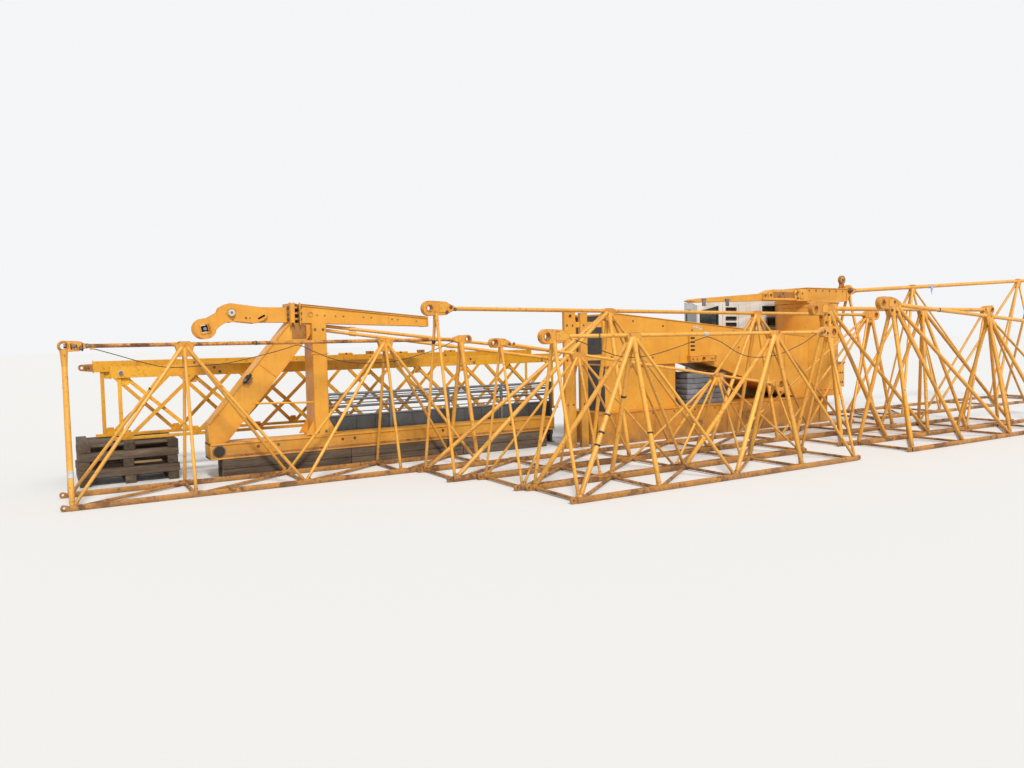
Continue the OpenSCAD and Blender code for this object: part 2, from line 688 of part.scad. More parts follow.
// The two curved lug plates with their pin, and the stub and end plate that carry them
pin_x = plate_x - 6 * horn_hump_r;
pin_z = arm_z + 1.1 * horn_hump_r;
horn_eye = [-2.6, -1.64] * horn_hump_r;
module horn_outline() translate([pin_x, pin_z]) difference() {
    union() {
        circle(r = horn_hump_r, $fn = 64);
        translate(horn_eye) circle(r = horn_eye_r, $fn = 64);
        scale(horn_hump_r) polygon([[0, 1], [3.04, 0.6], [3.57, 0.4], [3.76, 0], [3.66, -0.46],
            [3.22, -0.83], [2.5, -1.13], [1.3, -1], [0.05, -0.88], [-0.53, -1.03], [-1.12, -1.37],
            [-1.6, -1.83], [-2.6, -1.64], [-2.4, -0.6], [-1.23, 0.08], [-1.04, 0.56], [-0.48, 0.87]]);
    }
    translate(horn_eye) rotate(12) square(horn_hole, center = true);
    translate([3.1, -0.46] * horn_hump_r) rotate(28) square([horn_hole, horn_hole / 4], center = true);
}

stub_low = 8;
module head_horns() at(0, row_head) color(paint) {
    for (hand = [-1, 1]) translate([0, hand * (horn_gap + horn_t) / 2, 0])
        across(horn_t) horn_outline();
    translate([pin_x, 0, pin_z]) rotate([90, 0, 0])
        cylinder(h = horn_gap + 4 * horn_t, r = horn_pin_r, center = true, $fn = 48);
    translate([plate_x - 3.5 * horn_hump_r, -horn_gap / 2, arm_z + stub_low])
        cube([3.5 * horn_hump_r, horn_gap, arm_d * 0.8]);
    translate([plate_x, -head_w / 2, arm_z]) cube([plate_t, head_w, arm_d + stub_low]);
    for (z = [0.2, 0.5, 0.8], y = [-0.3, 0.3])
        translate([plate_x + plate_t - 1, y * head_w, arm_z + z * arm_d]) rotate([0, 90, 0])
            cylinder(h = plate_gap + 1, r = arm_hole_r, $fn = 24);
}

// The tie bars run from the column to the first end post of the plate girder
post_y = row_bed - web_w / 2;
module tie_bars() at(0, 0) color(paint) difference() {
    for (k = [0, 1])
        bar([col_right - tie_r, row_head, arm_z - (1.5 + 2.5 * k) * tie_r],
            [girder_x + tie_r, post_y + post_t / 2, tie_z - k * tie_drop], tie_r);
    translate([col_left, row_head - head_w / 2, 0]) cube([column_w, head_w, arm_z]);
    translate([girder_x, post_y, 0]) cube([post_w, post_t, web_top]);
}

// A channel along X, its web in front and its lower left edge at the origin
module channel(length, w, h, t) {
    for (z = [0, h - t]) translate([0, -w / 2, z]) cube([length, w, t]);
    translate([0, -w / 2, 0]) cube([length, t, h]);
}

// Two trusses stand side by side: [first x, y, height of the top of the girder]
cj_trusses = [[0, -cj_w / 2, timber_top + cj_h], [-cj_lead, cj_w / 2, timber_top + cj_h + cj_step]];
module counter_jib_girders() at(cj_x + cj_lead, row_back) color(paint) for (t = cj_trusses) {
    translate([t[0], t[1], t[2] - girder_h]) channel(cj_len - cj_lead, girder_w, girder_h, beam_t);
    translate([t[0], t[1] - girder_w / 2, timber_top]) cube([cj_len - cj_lead, girder_w, 2 * beam_t]);
}

module counter_jib_bracing() at(cj_x + cj_lead, row_back) color(paint) difference() {
    low = timber_top + beam_t;
    bay = (cj_len - cj_lead - 4 * girder_w) / cj_bays;
    for (t = cj_trusses) translate([t[0] + 2 * girder_w, t[1], 0]) {
        high = t[2] - girder_h + beam_t / 2;
        for (x = [-3 * brace_r, cj_bays * bay + 3 * brace_r]) bar([x, 0, low], [x, 0, high], brace_r);
        for (i = [0:cj_bays - 1]) {
            bar([i * bay, -brace_r, low], [(i + 1) * bay, -brace_r, high], brace_r - 1);
            bar([i * bay, brace_r, high], [(i + 1) * bay, brace_r, low], brace_r - 1);
        }
    }
    counter_jib_hulls();
}
module counter_jib_hulls() for (t = cj_trusses) {
    translate([t[0], t[1] - girder_w / 2, t[2] - girder_h]) cube([cj_len, girder_w, girder_h]);
    translate([t[0], t[1] - girder_w / 2, timber_top - girder_h])
        cube([cj_len, girder_w, girder_h + 2 * beam_t]);
}

layer_h = timber_top / timber_layers;
timber_side = layer_h * 1.4;
module timber_stack() {
    n = 3;
    for (i = [0:timber_layers - 1])
        if (i % 2 == 1)
            for (k = [0:n - 1])
                translate([0, k * (timber_w - timber_side) / (n - 1), i * layer_h])
                    cube([timber_len, timber_side, layer_h]);
        else
            for (k = [0:n - 1])
                translate([k * (timber_len - timber_side) / (n - 1), 0, i * layer_h])
                    cube([timber_side, timber_w, layer_h]);
}
module timber_bearers() at(0, row_back - timber_w / 2) color([0.25, 0.19, 0.15]) {
    translate([cj_x - cj_lead - girder_w, 0, 0]) timber_stack();
    translate([cj_x + cj_len - timber_len - 2 * timber_side, 0, 0]) timber_stack();
    // two long timbers lie under the base beam
    for (y = [-head_w / 2, head_w / 2 - base_timber])
        translate([head_x + base_timber, row_head - row_back + timber_w / 2 + y, 0])
            cube([base_len - 2 * base_timber, base_timber, base_z]);
}

module guard_rails() at(rail_x, row_rails) color(zinc) {
    for (z = [rail_h * 0.8, rail_h * 0.9, rail_h - rail_r])
        bar([0, 0, z], [rail_len, 0, z], rail_r);
    for (i = [0:4]) translate([i * (rail_len - 2 * rail_r) / 4, -rail_r, 0])
        cube([2 * rail_r, 2 * rail_r, rail_h]);
    translate([0, -rail_r / 5, 0.33 * rail_h]) cube([rail_len, rail_r * 0.4, rail_h * 0.34]);
}

module bed_box() at(bed_x, row_bed) color(paint_dark)
    translate([0, -bed_w / 2, 0]) cube([bed_len, bed_w, bed_h]);

// Two posts stand at the end of the plate girder, tied to it by two flat bars
post_top = web_top + post_t;
module girder_end_posts() at(girder_x, post_y) color(paint) {
    cube([post_w, post_t, post_top]);
    translate([post_w + post_gap, 0, 0]) cube([post_w2, post_t, post_top - post_t * 0.75]);
    for (z = [0.65, 0.9]) translate([1, post_t * 0.2, z * web_top])
        cube([web_x - girder_x - 1, post_t * 0.6, post_t * 1.5]);
}

// The plate girder is a hollow box, open at its left end; its top edge falls to the right
// and its lower edge falls to the bottom box
function web_edge(x) = web_top - max(0, x - web_flat) * web_fall / 1000;
module web_outline(t, open)
    polygon([[web_x - open, web_low + t], [web_knee, web_low + t], [web_foot, bed_h + t],
        [col_mid, bed_h + t], [col_mid, web_edge(col_mid) - t], [web_flat, web_top - t],
        [web_x - open, web_top - t]]);
shelf_x = web_knee - 400;
shelf_len = 650;
shelf_w = 80;
module plate_girder() at(0, row_bed) color(paint) difference() {
    union() {
        difference() {
            across(web_w) web_outline(0, 0);
            across(web_w - 2 * web_t) web_outline(web_t, 1);
        }
        translate([web_x + 2 * web_t, web_t - web_w / 2, bed_h])
            cube([low_len, web_w - 2 * web_t, web_low - bed_h + 1]);
        // the stiffener and the shelf on the front plate
        translate([shelf_x + 20, -web_w / 2 - shelf_w / 2, web_low + 110]) cube([150, shelf_w, 360]);
        translate([shelf_x, -web_w / 2 - shelf_w, web_low]) cube([shelf_len, shelf_w + 1, 110]);
    }
    translate([shelf_x + shelf_len / 2, 0, web_low + 55]) rotate([90, 0, 0])
        cylinder(h = web_w, r = pin_r, $fn = 32);
    translate([col_mid, 0, bed_h - 1]) cylinder(h = ring_h + 1, r = ring_r, $fn = 96);
    translate([col_mid, 0, bed_h]) cylinder(h = col_top, r = col_r, $fn = 96);
}

module ballast_slabs() at(slab_x, row_bed) color([0.46, 0.45, 0.44])
    for (k = [0:2]) translate([k * slab_step, -slab_w / 2, bed_h + k * slab_h])
        cube([slab_len, slab_w, slab_h]);

// The column stands on its ring; a bracket points to the right
module slewing_column() at(col_mid, row_bed) color(paint) {
    translate([0, 0, bed_h]) cylinder(h = ring_h, r = ring_r, $fn = 96);
    translate([0, 0, bed_h + ring_h - 1]) cylinder(h = col_top - bed_h - ring_h + 1, r = col_r, $fn = 96);
    translate([0, -bracket_w / 2, bed_h + ring_h - 1]) cube([col_r + bracket_len, bracket_w, bracket_h]);
    translate([0, -bracket_w / 2 - web_t, bed_h + ring_h + bracket_h - 2])
        cube([col_r + bracket_len, bracket_w + 2 * web_t, web_t]);
}

// The head box, the fork at its front right with the pin of the mast section, and a small sheave
fork_y = row_mast - row_bed;
module column_head_box() at(0, row_bed) color(paint) {
    translate([cap_x, -cap_w / 2, col_top]) cube([cap_len, cap_w, cap_h]);
    for (hand = [-1, 1]) translate([0, fork_y + hand * (lug_t / 2 + 2 + fork_t / 2), 0])
        across(fork_t) union() {
            translate([fork_x, fork_z]) circle(r = fork_r, $fn = 48);
            polygon([[cap_x + cap_len - 1, col_top + 1], [cap_x + cap_len - 1, col_top + cap_h - 1],
                [fork_x, fork_z + fork_r], [fork_x, fork_z - fork_r]]);
        }
    translate([fork_x, fork_y, fork_z]) rotate([90, 0, 0])
        cylinder(h = lug_t + 3 * fork_t, r = pin_r - 0.4, center = true, $fn = 48);
    translate([cap_x + cap_len - sheave_r * 0.4, fork_y, col_top + cap_h - 1]) {
        translate([-sheave_r / 3, -sheave_r / 3, 0]) cube([sheave_r * 0.66, sheave_r * 0.66, sheave_r * 1.5]);
        translate([0, 0, sheave_r * 2.2]) rotate([90, 0, 0])
            cylinder(h = sheave_r * 0.6, r = sheave_r, center = true, $fn = 48);
    }
}

// The beam over the cab ends against the head box and tapers to a thin tip on the left
beam_end = cap_x - 1;
module cab_beam() at(0, row_mast) color(paint) {
    across(beam_w) polygon([[beam_x - beam_tip, col_top - beam_h * 0.16], [beam_x, col_top - beam_h / 4],
        [beam_knee, col_top - beam_h * 0.03], [beam_end - beam_w, col_top], [beam_end, col_top],
        [beam_end, col_top + beam_h], [beam_knee + beam_w, col_top + beam_h * 0.93],
        [beam_knee, col_top + beam_h * 0.6], [beam_x, col_top + beam_h * 0.04],
        [beam_x - beam_tip, col_top - beam_h * 0.09]]);
    translate([beam_end - 1.5 * beam_w, -beam_w / 2 - web_t, col_top + 1])
        cube([1.45 * beam_w, web_t + 1, beam_h + 2]);
    for (k = [0, 1])
        translate([beam_x + (0.7 + 2.95 * k) * beam_w, -beam_w / 2 - web_t / 2, col_top - clip_h])
        cube([clip_h * 0.6, web_t / 2 + 1, clip_h * 0.95]);
}

module cab_base() at(cab_x + cab_len * 0.22, row_cab) color(zinc) {
    for (hand = [-1, 1]) translate([0, hand * cab_w * 0.42 - wall, 0])
        cube([cab_len * 0.76, 2 * wall, cab_z]);
    for (x = [0, cab_len * 0.76 - 2 * wall]) translate([x, -cab_w * 0.42, cab_z / 3])
        cube([2 * wall, cab_w * 0.84, cab_z / 3]);
}

// The cab: the outline of its side, and the front that is cut back from the right
sill = cab_z + (cab_top - cab_z) * 0.43;
module cab_outline(t)
    polygon([[t - wall, cab_z + t], [cab_len - t, cab_z + t], [cab_len - t, cab_top - cab_drop / 8 - t],
        [cab_len * 0.8, cab_top - t], [cab_len * 0.36, cab_top - cab_drop / 20 - t],
        [cab_len * 0.13, cab_top - cab_drop * 0.35 - t], [t - wall, cab_top - cab_drop - t]]);
module ahead_of_front(t) translate([t / cos(cab_sweep), -cab_w / 2, 0])
    rotate([0, 0, -cab_sweep]) translate([-big, -big / 2, -big / 2]) cube([big, big, big]);

// Openings in the side walls: a window, three louvres, and two windows of the rear part
slot_h = cab_len / 38;
module cab_windows() {
    polygon([[wall * 1.5, sill], [cab_len * 0.245, sill], [cab_len * 0.245, cab_top - cab_drop],
        [wall * 1.5, cab_top - cab_drop * 1.7]]);
    for (k = [0, 3, 5]) translate([cab_len * 0.34, cab_top - cab_drop * 1.6 - k * slot_h])
        square([cab_len * 0.125, slot_h]);
    translate([cab_len * 0.8, cab_top - cab_drop * 1.6]) square([cab_len * 0.17, slot_h * 1.6]);
    translate([cab_len * 0.855, cab_top - cab_drop * 3.7]) square([cab_len * 0.12, slot_h * 2.8]);
}
front_len = cab_w / cos(cab_sweep);
windshield_low = sill - (cab_top - cab_z) * 0.13;
module windshield(t, margin) translate([0, -cab_w / 2, 0]) rotate([0, 0, -cab_sweep])
    translate([(wall - t) / 2, 2 * wall + margin, windshield_low + margin])
        cube([t, front_len - 4 * wall - 2 * margin,
            cab_top - cab_drop * 1.6 - windshield_low - 2 * margin]);
module cab_shell() at(cab_x, row_cab) color(white) difference() {
    across(cab_w) cab_outline(0);
    ahead_of_front(0);
    difference() {
        across(cab_w - 2 * wall) cab_outline(wall);
        ahead_of_front(wall);
    }
    across(cab_w + 2) cab_windows();
    windshield(4 * wall, 0);
}
module cab_glass() at(cab_x, row_cab) color([0.3, 0.4, 0.45]) {
    for (hand = [-1, 1]) difference() {
        translate([0, hand * (cab_w - wall) / 2, 0]) across(pane_t) cab_windows();
        ahead_of_front(0);
    }
    windshield(pane_t, 0);
}

jib_a_top_chord();
jib_a_near_side();
jib_a_far_side();
jib_a_bottom_frame();
jib_a_cable();
jib_d_cable();
jib_b_top_chord();
jib_b_near_side();
jib_b_far_side();
jib_b_bottom_frame();
jib_c_top_chord();
jib_c_near_side();
jib_c_far_side();
jib_c_bottom_frame();
jib_d_top_chord();
jib_d_near_side();
jib_d_far_side();
jib_d_bottom_frame();
jib_f_top_chord();
jib_f_near_side();
jib_f_far_side();
jib_f_bottom_frame();
jib_h_top_chord();
jib_h_near_side();
jib_h_far_side();
jib_h_bottom_frame();
mast_top_chord();
mast_near_side();
mast_far_side();
mast_bottom_frame();
head_base_beam();
head_column();
head_strut();
head_arm();
head_horns();
tie_bars();
counter_jib_girders();
counter_jib_bracing();
timber_bearers();
guard_rails();
plate_girder();
girder_end_posts();
bed_box();
ballast_slabs();
slewing_column();
column_head_box();
cab_beam();
cab_base();
cab_shell();
cab_glass();
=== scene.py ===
# Dresses the stored tower crane: round tubes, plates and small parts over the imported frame,
# weathered paint and rust, a pale studio and the photograph's camera.
# All places are in yard metres: X from the left edge, Y from the front edge, Z from the ground.
import math
import random
import bmesh
import bpy
from mathutils import Matrix, Vector


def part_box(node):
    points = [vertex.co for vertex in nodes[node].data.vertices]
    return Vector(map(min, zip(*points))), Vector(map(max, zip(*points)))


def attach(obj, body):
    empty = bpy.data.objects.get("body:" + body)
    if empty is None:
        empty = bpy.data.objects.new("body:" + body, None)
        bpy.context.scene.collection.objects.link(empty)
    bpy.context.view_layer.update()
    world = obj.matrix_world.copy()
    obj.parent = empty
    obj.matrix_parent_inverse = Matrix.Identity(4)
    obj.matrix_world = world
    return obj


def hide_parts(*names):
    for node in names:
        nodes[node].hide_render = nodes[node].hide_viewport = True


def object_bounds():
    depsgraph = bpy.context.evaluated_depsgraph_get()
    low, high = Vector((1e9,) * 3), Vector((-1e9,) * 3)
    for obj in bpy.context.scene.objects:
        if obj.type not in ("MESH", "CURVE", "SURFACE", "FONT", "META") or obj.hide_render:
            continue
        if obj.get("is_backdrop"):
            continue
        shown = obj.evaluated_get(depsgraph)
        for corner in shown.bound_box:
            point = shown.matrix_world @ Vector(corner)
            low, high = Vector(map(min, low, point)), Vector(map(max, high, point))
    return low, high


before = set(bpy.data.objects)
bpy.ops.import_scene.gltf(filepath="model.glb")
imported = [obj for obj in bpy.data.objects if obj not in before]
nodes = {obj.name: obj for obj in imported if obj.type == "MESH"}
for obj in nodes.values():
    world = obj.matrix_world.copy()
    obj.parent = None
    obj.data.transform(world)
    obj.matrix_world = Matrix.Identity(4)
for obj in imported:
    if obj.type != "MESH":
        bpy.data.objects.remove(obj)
cadLow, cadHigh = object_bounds()
random.seed(11)
leftGap = 0.024
corner = Vector((cadLow.x - leftGap, cadLow.y, 0))
print("frame loaded:", len(nodes), "nodes")


def boxOf(*names):
    lows, highs = zip(*[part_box(name) for name in names])
    return (Vector([min(v[i] for v in lows) for i in range(3)]) - corner,
            Vector([max(v[i] for v in highs) for i in range(3)]) - corner)


# Shader helpers: a socket is linked, anything else is set as the input's own value
def put(tree, kind, settings={}, wires={}):
    node = tree.nodes.new(kind)
    for key, value in settings.items():
        setattr(node, key, value)
    for key, value in wires.items():
        if isinstance(value, bpy.types.NodeSocket):
            tree.links.new(value, node.inputs[key])
        else:
            node.inputs[key].default_value = value
    return node


def calc(tree, operation, a, b=0.0):
    return put(tree, "ShaderNodeMath", {"operation": operation, "use_clamp": True}, {0: a, 1: b}).outputs[0]


def blendColour(tree, factor, a, b, kind="MIX"):
    settings = {"data_type": "RGBA", "blend_type": kind, "clamp_factor": True}
    return put(tree, "ShaderNodeMix", settings, {0: factor, 6: a, 7: b}).outputs[2]


def remap(tree, value, low, high, toLow=0.0, toHigh=1.0):
    wires = {0: value, 1: low, 2: high, 3: toLow, 4: toHigh}
    return put(tree, "ShaderNodeMapRange", {"clamp": True}, wires).outputs[0]


def noise(tree, vector, scale, detail=5.0, roughness=0.6):
    wires = {"Vector": vector, "Scale": scale, "Detail": detail, "Roughness": roughness}
    return put(tree, "ShaderNodeTexNoise", {}, wires).outputs[0]


def stretched(tree, vector, scale):
    return put(tree, "ShaderNodeMapping", {}, {"Vector": vector, "Scale": scale}).outputs[0]


def newGroup(name, inputs, outputs):
    tree = bpy.data.node_groups.new(name, "ShaderNodeTree")
    for label, value in inputs.items():
        kind = {float: "NodeSocketFloat", tuple: "NodeSocketColor"}.get(type(value), "NodeSocketVector")
        socket = tree.interface.new_socket(label, in_out="INPUT", socket_type=kind)
        if value is not None:
            socket.default_value = value
    for label in outputs:
        kind = "NodeSocketColor" if label == "Color" else "NodeSocketFloat"
        tree.interface.new_socket(label, in_out="OUTPUT", socket_type=kind)
    return tree, put(tree, "NodeGroupInput").outputs, put(tree, "NodeGroupOutput").inputs


def place(tree, group, output=0, **wires):
    return put(tree, "ShaderNodeGroup", {"node_tree": group}, wires).outputs[output]


# Patches: soft or hard blotches that cover a share of the surface
patches, given, made = newGroup("patches", {"Vector": None, "Scale": 2.0, "Amount": 0.3, "Softness": 0.06},
                                ["Mask"])
large = noise(patches, given["Vector"], given["Scale"], 7.0, 0.62)
small = noise(patches, stretched(patches, given["Vector"], (6.3, 6.3, 6.3)), given["Scale"], 4.0, 0.6)
both = calc(patches, "ADD", calc(patches, "MULTIPLY", large, 0.68), calc(patches, "MULTIPLY", small, 0.32))
edge = calc(patches, "SUBTRACT", 0.74, calc(patches, "MULTIPLY", given["Amount"], 0.42))
patches.links.new(remap(patches, both, edge, calc(patches, "ADD", edge, given["Softness"])), made["Mask"])

# Streaks: stains that rain has drawn down a plate
streaks, given, made = newGroup("streaks", {"Vector": None, "Scale": 9.0, "Amount": 0.4}, ["Mask"])
drawn = noise(streaks, stretched(streaks, given["Vector"], (1.0, 1.0, 0.05)), given["Scale"], 5.0, 0.65)
broken = noise(streaks, given["Vector"], 2.2, 3.0, 0.5)
edge = calc(streaks, "SUBTRACT", 0.72, calc(streaks, "MULTIPLY", given["Amount"], 0.4))
lines = remap(streaks, drawn, edge, calc(streaks, "ADD", edge, 0.16))
streaks.links.new(calc(streaks, "MULTIPLY", lines, remap(streaks, broken, 0.35, 0.6)), made["Mask"])

# Ground dirt: mud and damp that climb from the floor to a given height
groundDirt, given, made = newGroup("groundDirt", {"Vector": None, "Height": 0.3}, ["Mask"])
parts = put(groundDirt, "ShaderNodeSeparateXYZ", {}, {0: given["Vector"]}).outputs
ragged = noise(groundDirt, given["Vector"], 5.0, 6.0, 0.65)
level = calc(groundDirt, "DIVIDE", parts["Z"], given["Height"])
climb = calc(groundDirt, "MULTIPLY", remap(groundDirt, level, 1.0, 0.0),
             remap(groundDirt, ragged, 0.35, 0.6, 0.25, 1.0))
groundDirt.links.new(climb, made["Mask"])

# Rust: dark scale, brown and a little fresh orange
rustTone, given, made = newGroup("rustTone", {"Vector": None}, ["Color"])
cloud = noise(rustTone, given["Vector"], 9.0, 8.0, 0.7)
grain = noise(rustTone, given["Vector"], 60.0, 4.0, 0.7)
brown = blendColour(rustTone, remap(rustTone, cloud, 0.4, 0.62), (0.085, 0.034, 0.016, 1),
                    (0.24, 0.085, 0.028, 1))
brown = blendColour(rustTone, remap(rustTone, grain, 0.52, 0.72), brown, (0.42, 0.17, 0.05, 1))
rustTone.links.new(brown, made["Color"])

# Undersides: painted shade where a surface looks down, thinner on the flanks and broken by noise
shadeBelow, given, made = newGroup("shadeBelow", {"Vector": None}, ["Mask"])
normal = put(shadeBelow, "ShaderNodeNewGeometry").outputs["Normal"]
facing = put(shadeBelow, "ShaderNodeSeparateXYZ", {}, {0: normal}).outputs["Z"]
down = remap(shadeBelow, facing, 0.35, -0.75)
patchy = remap(shadeBelow, noise(shadeBelow, given["Vector"], 7.0, 6.0, 0.65), 0.34, 0.6, 0.35, 1.0)
shadeBelow.links.new(calc(shadeBelow, "MULTIPLY", down, patchy), made["Mask"])

# Edge wear: where a bevelled normal leaves the true one, the paint is rubbed off
edgeWear, given, made = newGroup("edgeWear", {"Vector": None, "Radius": 0.008, "Amount": 0.5}, ["Mask"])
rounded = put(edgeWear, "ShaderNodeBevel", {"samples": 3}, {"Radius": given["Radius"]}).outputs[0]
plain = put(edgeWear, "ShaderNodeNewGeometry").outputs["Normal"]
dot = put(edgeWear, "ShaderNodeVectorMath", {"operation": "DOT_PRODUCT"},
          {0: rounded, 1: plain}).outputs["Value"]
turned = remap(edgeWear, dot, 0.995, 0.86)
chips = noise(edgeWear, given["Vector"], 26.0, 5.0, 0.7)
edge = calc(edgeWear, "SUBTRACT", 0.78, calc(edgeWear, "MULTIPLY", given["Amount"], 0.45))
chips = remap(edgeWear, chips, edge, calc(edgeWear, "ADD", edge, 0.08))
edgeWear.links.new(calc(edgeWear, "MULTIPLY", turned, chips), made["Mask"])


def newMaterial(name):
    material = bpy.data.materials.new(name)
    material.use_nodes = True
    tree = material.node_tree
    vector = put(tree, "ShaderNodeTexCoord").outputs["Object"]
    return material, tree, tree.nodes["Principled BSDF"], vector


def setBump(tree, shader, height, strength=0.3, distance=0.004, normal=None):
    wires = {"Strength": strength, "Distance": distance, "Height": height}
    if normal is not None:
        wires["Normal"] = normal
    tree.links.new(put(tree, "ShaderNodeBump", {}, wires).outputs[0], shader.inputs["Normal"])


# Every bar and block has a slightly different tone
def varied(tree, colour, low, high):
    island = put(tree, "ShaderNodeNewGeometry").outputs["Random Per Island"]
    return put(tree, "ShaderNodeHueSaturation", {}, {"Value": remap(tree, island, 0.0, 1.0, low, high),
                                                     "Color": colour}).outputs[0]


# Weathered paint, with painted shade on the undersides, for every painted piece
def paintOf(name, look):
    material, tree, shader, vector = newMaterial(name)
    colour = blendColour(tree, remap(tree, noise(tree, vector, 1.7, 5.0), 0.35, 0.65), look["base"],
                         look["deep"])
    fade = place(tree, patches, Vector=vector, Scale=look["fadeScale"], Amount=look["fade"], Softness=0.3)
    colour = blendColour(tree, calc(tree, "MULTIPLY", fade, 0.6), colour, look["faded"])
    colour = varied(tree, colour, 1 - look["spread"], 1 + look["spread"] * 0.6)
    stain = place(tree, streaks, Vector=vector, Scale=11.0, Amount=look["streak"])
    colour = blendColour(tree, calc(tree, "MULTIPLY", stain, look["stainDepth"]), colour, look["stain"])
    # painted shade: surfaces that face down are darkened towards the stain colour
    undersideShade = place(tree, shadeBelow, Vector=vector)
    colour = blendColour(tree, calc(tree, "MULTIPLY", undersideShade, look["undersideShade"]), colour, look["stain"])
    specks = place(tree, patches, Vector=vector, Scale=24.0, Amount=look["specks"], Softness=0.05)
    colour = blendColour(tree, calc(tree, "MULTIPLY", specks, 0.75), colour, look["speck"])
    rust = place(tree, patches, Vector=vector, Scale=look["rustScale"], Amount=look["rust"], Softness=0.05)
    halo = place(tree, patches, Vector=vector, Scale=look["rustScale"], Amount=look["rust"] + 0.14,
                 Softness=0.2)
    colour = blendColour(tree, calc(tree, "MULTIPLY", halo, 0.5), colour, look["stain"])
    if look["wear"] > 0:
        patchy = place(tree, edgeWear, Vector=vector, Radius=0.009, Amount=look["wear"])
        rust = calc(tree, "MAXIMUM", rust, patchy)
    colour = blendColour(tree, rust, colour, place(tree, rustTone, Vector=vector))
    dirt = place(tree, groundDirt, Vector=vector, Height=look["dirtHeight"])
    colour = blendColour(tree, calc(tree, "MULTIPLY", dirt, look["dirt"]), colour, look["mud"])
    tree.links.new(colour, shader.inputs["Base Color"])
    matt = calc(tree, "MAXIMUM", rust, calc(tree, "MULTIPLY", dirt, look["dirt"]))
    gloss = remap(tree, noise(tree, vector, 14.0, 4.0), 0.3, 0.7, look["rough"] - 0.08, look["rough"] + 0.1)
    tree.links.new(calc(tree, "MAXIMUM", gloss, calc(tree, "MULTIPLY", matt, 0.88)), shader.inputs["Roughness"])
    peel = calc(tree, "MULTIPLY", noise(tree, vector, 90.0, 3.0), 0.25)
    soft = None
    if look["round"] > 0:
        soft = put(tree, "ShaderNodeBevel", {"samples": 3}, {"Radius": look["round"]}).outputs[0]
    setBump(tree, shader, calc(tree, "ADD", peel, calc(tree, "MULTIPLY", rust, 0.6)), 0.35, 0.003, soft)
    return material


yellowLook = {
    "base": (0.80, 0.405, 0.055, 1), "deep": (0.74, 0.335, 0.036, 1), "faded": (0.86, 0.50, 0.13, 1),
    "fade": 0.50, "fadeScale": 1.6, "streak": 0.40, "stainDepth": 0.50, "stain": (0.36, 0.15, 0.028, 1),
    "specks": 0.42, "speck": (0.20, 0.09, 0.03, 1), "rust": 0.24, "rustScale": 3.6, "wear": 0.0, "round": 0.0,
    "spread": 0.14, "dirt": 0.85, "dirtHeight": 0.34, "mud": (0.20, 0.11, 0.045, 1), "rough": 0.42,
    "undersideShade": 0.55}
whiteLook = dict(yellowLook, base=(0.78, 0.79, 0.77, 1), deep=(0.70, 0.71, 0.69, 1),
                 faded=(0.82, 0.81, 0.76, 1), stain=(0.40, 0.38, 0.32, 1), stainDepth=0.4,
                 speck=(0.30, 0.24, 0.18, 1), specks=0.2, rust=0.08, streak=0.5, wear=0.3, dirt=0.6,
                 dirtHeight=0.9, mud=(0.30, 0.27, 0.21, 1), round=0.012)
zincLook = dict(yellowLook, base=(0.21, 0.235, 0.26, 1), deep=(0.15, 0.17, 0.19, 1),
                faded=(0.30, 0.33, 0.35, 1), stain=(0.12, 0.11, 0.10, 1), rust=0.14, rough=0.5,
                mud=(0.16, 0.12, 0.08, 1))
paints = {
    "latticePaint": dict(yellowLook, faded=(0.85, 0.53, 0.16, 1)),
    "platePaint": dict(yellowLook, base=(0.80, 0.385, 0.040, 1), deep=(0.72, 0.31, 0.026, 1), wear=0.6,
                       rust=0.20, rustScale=1.8, fadeScale=0.7, spread=0.03, streak=0.45, stainDepth=0.42,
                       specks=0.34,
                       dirtHeight=0.6, round=0.008),
    "brightPaint": dict(yellowLook, base=(0.84, 0.42, 0.016, 1), deep=(0.76, 0.34, 0.014, 1),
                        faded=(0.87, 0.50, 0.05, 1), wear=0.5, rust=0.18, round=0.006),
    "rustyPaint": dict(yellowLook, base=(0.68, 0.30, 0.032, 1), deep=(0.50, 0.20, 0.03, 1), rust=0.56,
                       rustScale=2.6, dirt=0.9, dirtHeight=0.12, specks=0.5),
    "wornPaint": dict(yellowLook, base=(0.70, 0.31, 0.035, 1), deep=(0.58, 0.23, 0.025, 1), rust=0.58,
                      rustScale=2.2, fade=0.3, streak=0.7, specks=0.6),
    "bedPaint": dict(yellowLook, base=(0.72, 0.32, 0.034, 1), deep=(0.58, 0.23, 0.024, 1), rust=0.36,
                     rustScale=1.5, streak=0.6, specks=0.3, dirtHeight=0.5, spread=0.03),
    "brownPaint": dict(yellowLook, base=(0.40, 0.165, 0.03, 1), deep=(0.25, 0.10, 0.026, 1), rust=0.46,
                       rustScale=4.0, streak=0.8, stainDepth=0.8),
    "lugPaint": dict(yellowLook, base=(0.78, 0.355, 0.036, 1), deep=(0.66, 0.27, 0.026, 1), rust=0.38,
                     rustScale=6.0, wear=0.7, round=0.006, specks=0.45),
    "cabPaint": whiteLook,
    "galvanised": zincLook,
    "slatePaint": dict(zincLook, base=(0.075, 0.090, 0.100, 1), deep=(0.045, 0.055, 0.062, 1),
                       faded=(0.13, 0.145, 0.155, 1), stain=(0.03, 0.03, 0.03, 1), rust=0.1)}
finishes = {name: paintOf(name, look) for name, look in paints.items()}
finishes["galvanised"].node_tree.nodes["Principled BSDF"].inputs["Metallic"].default_value = 0.4


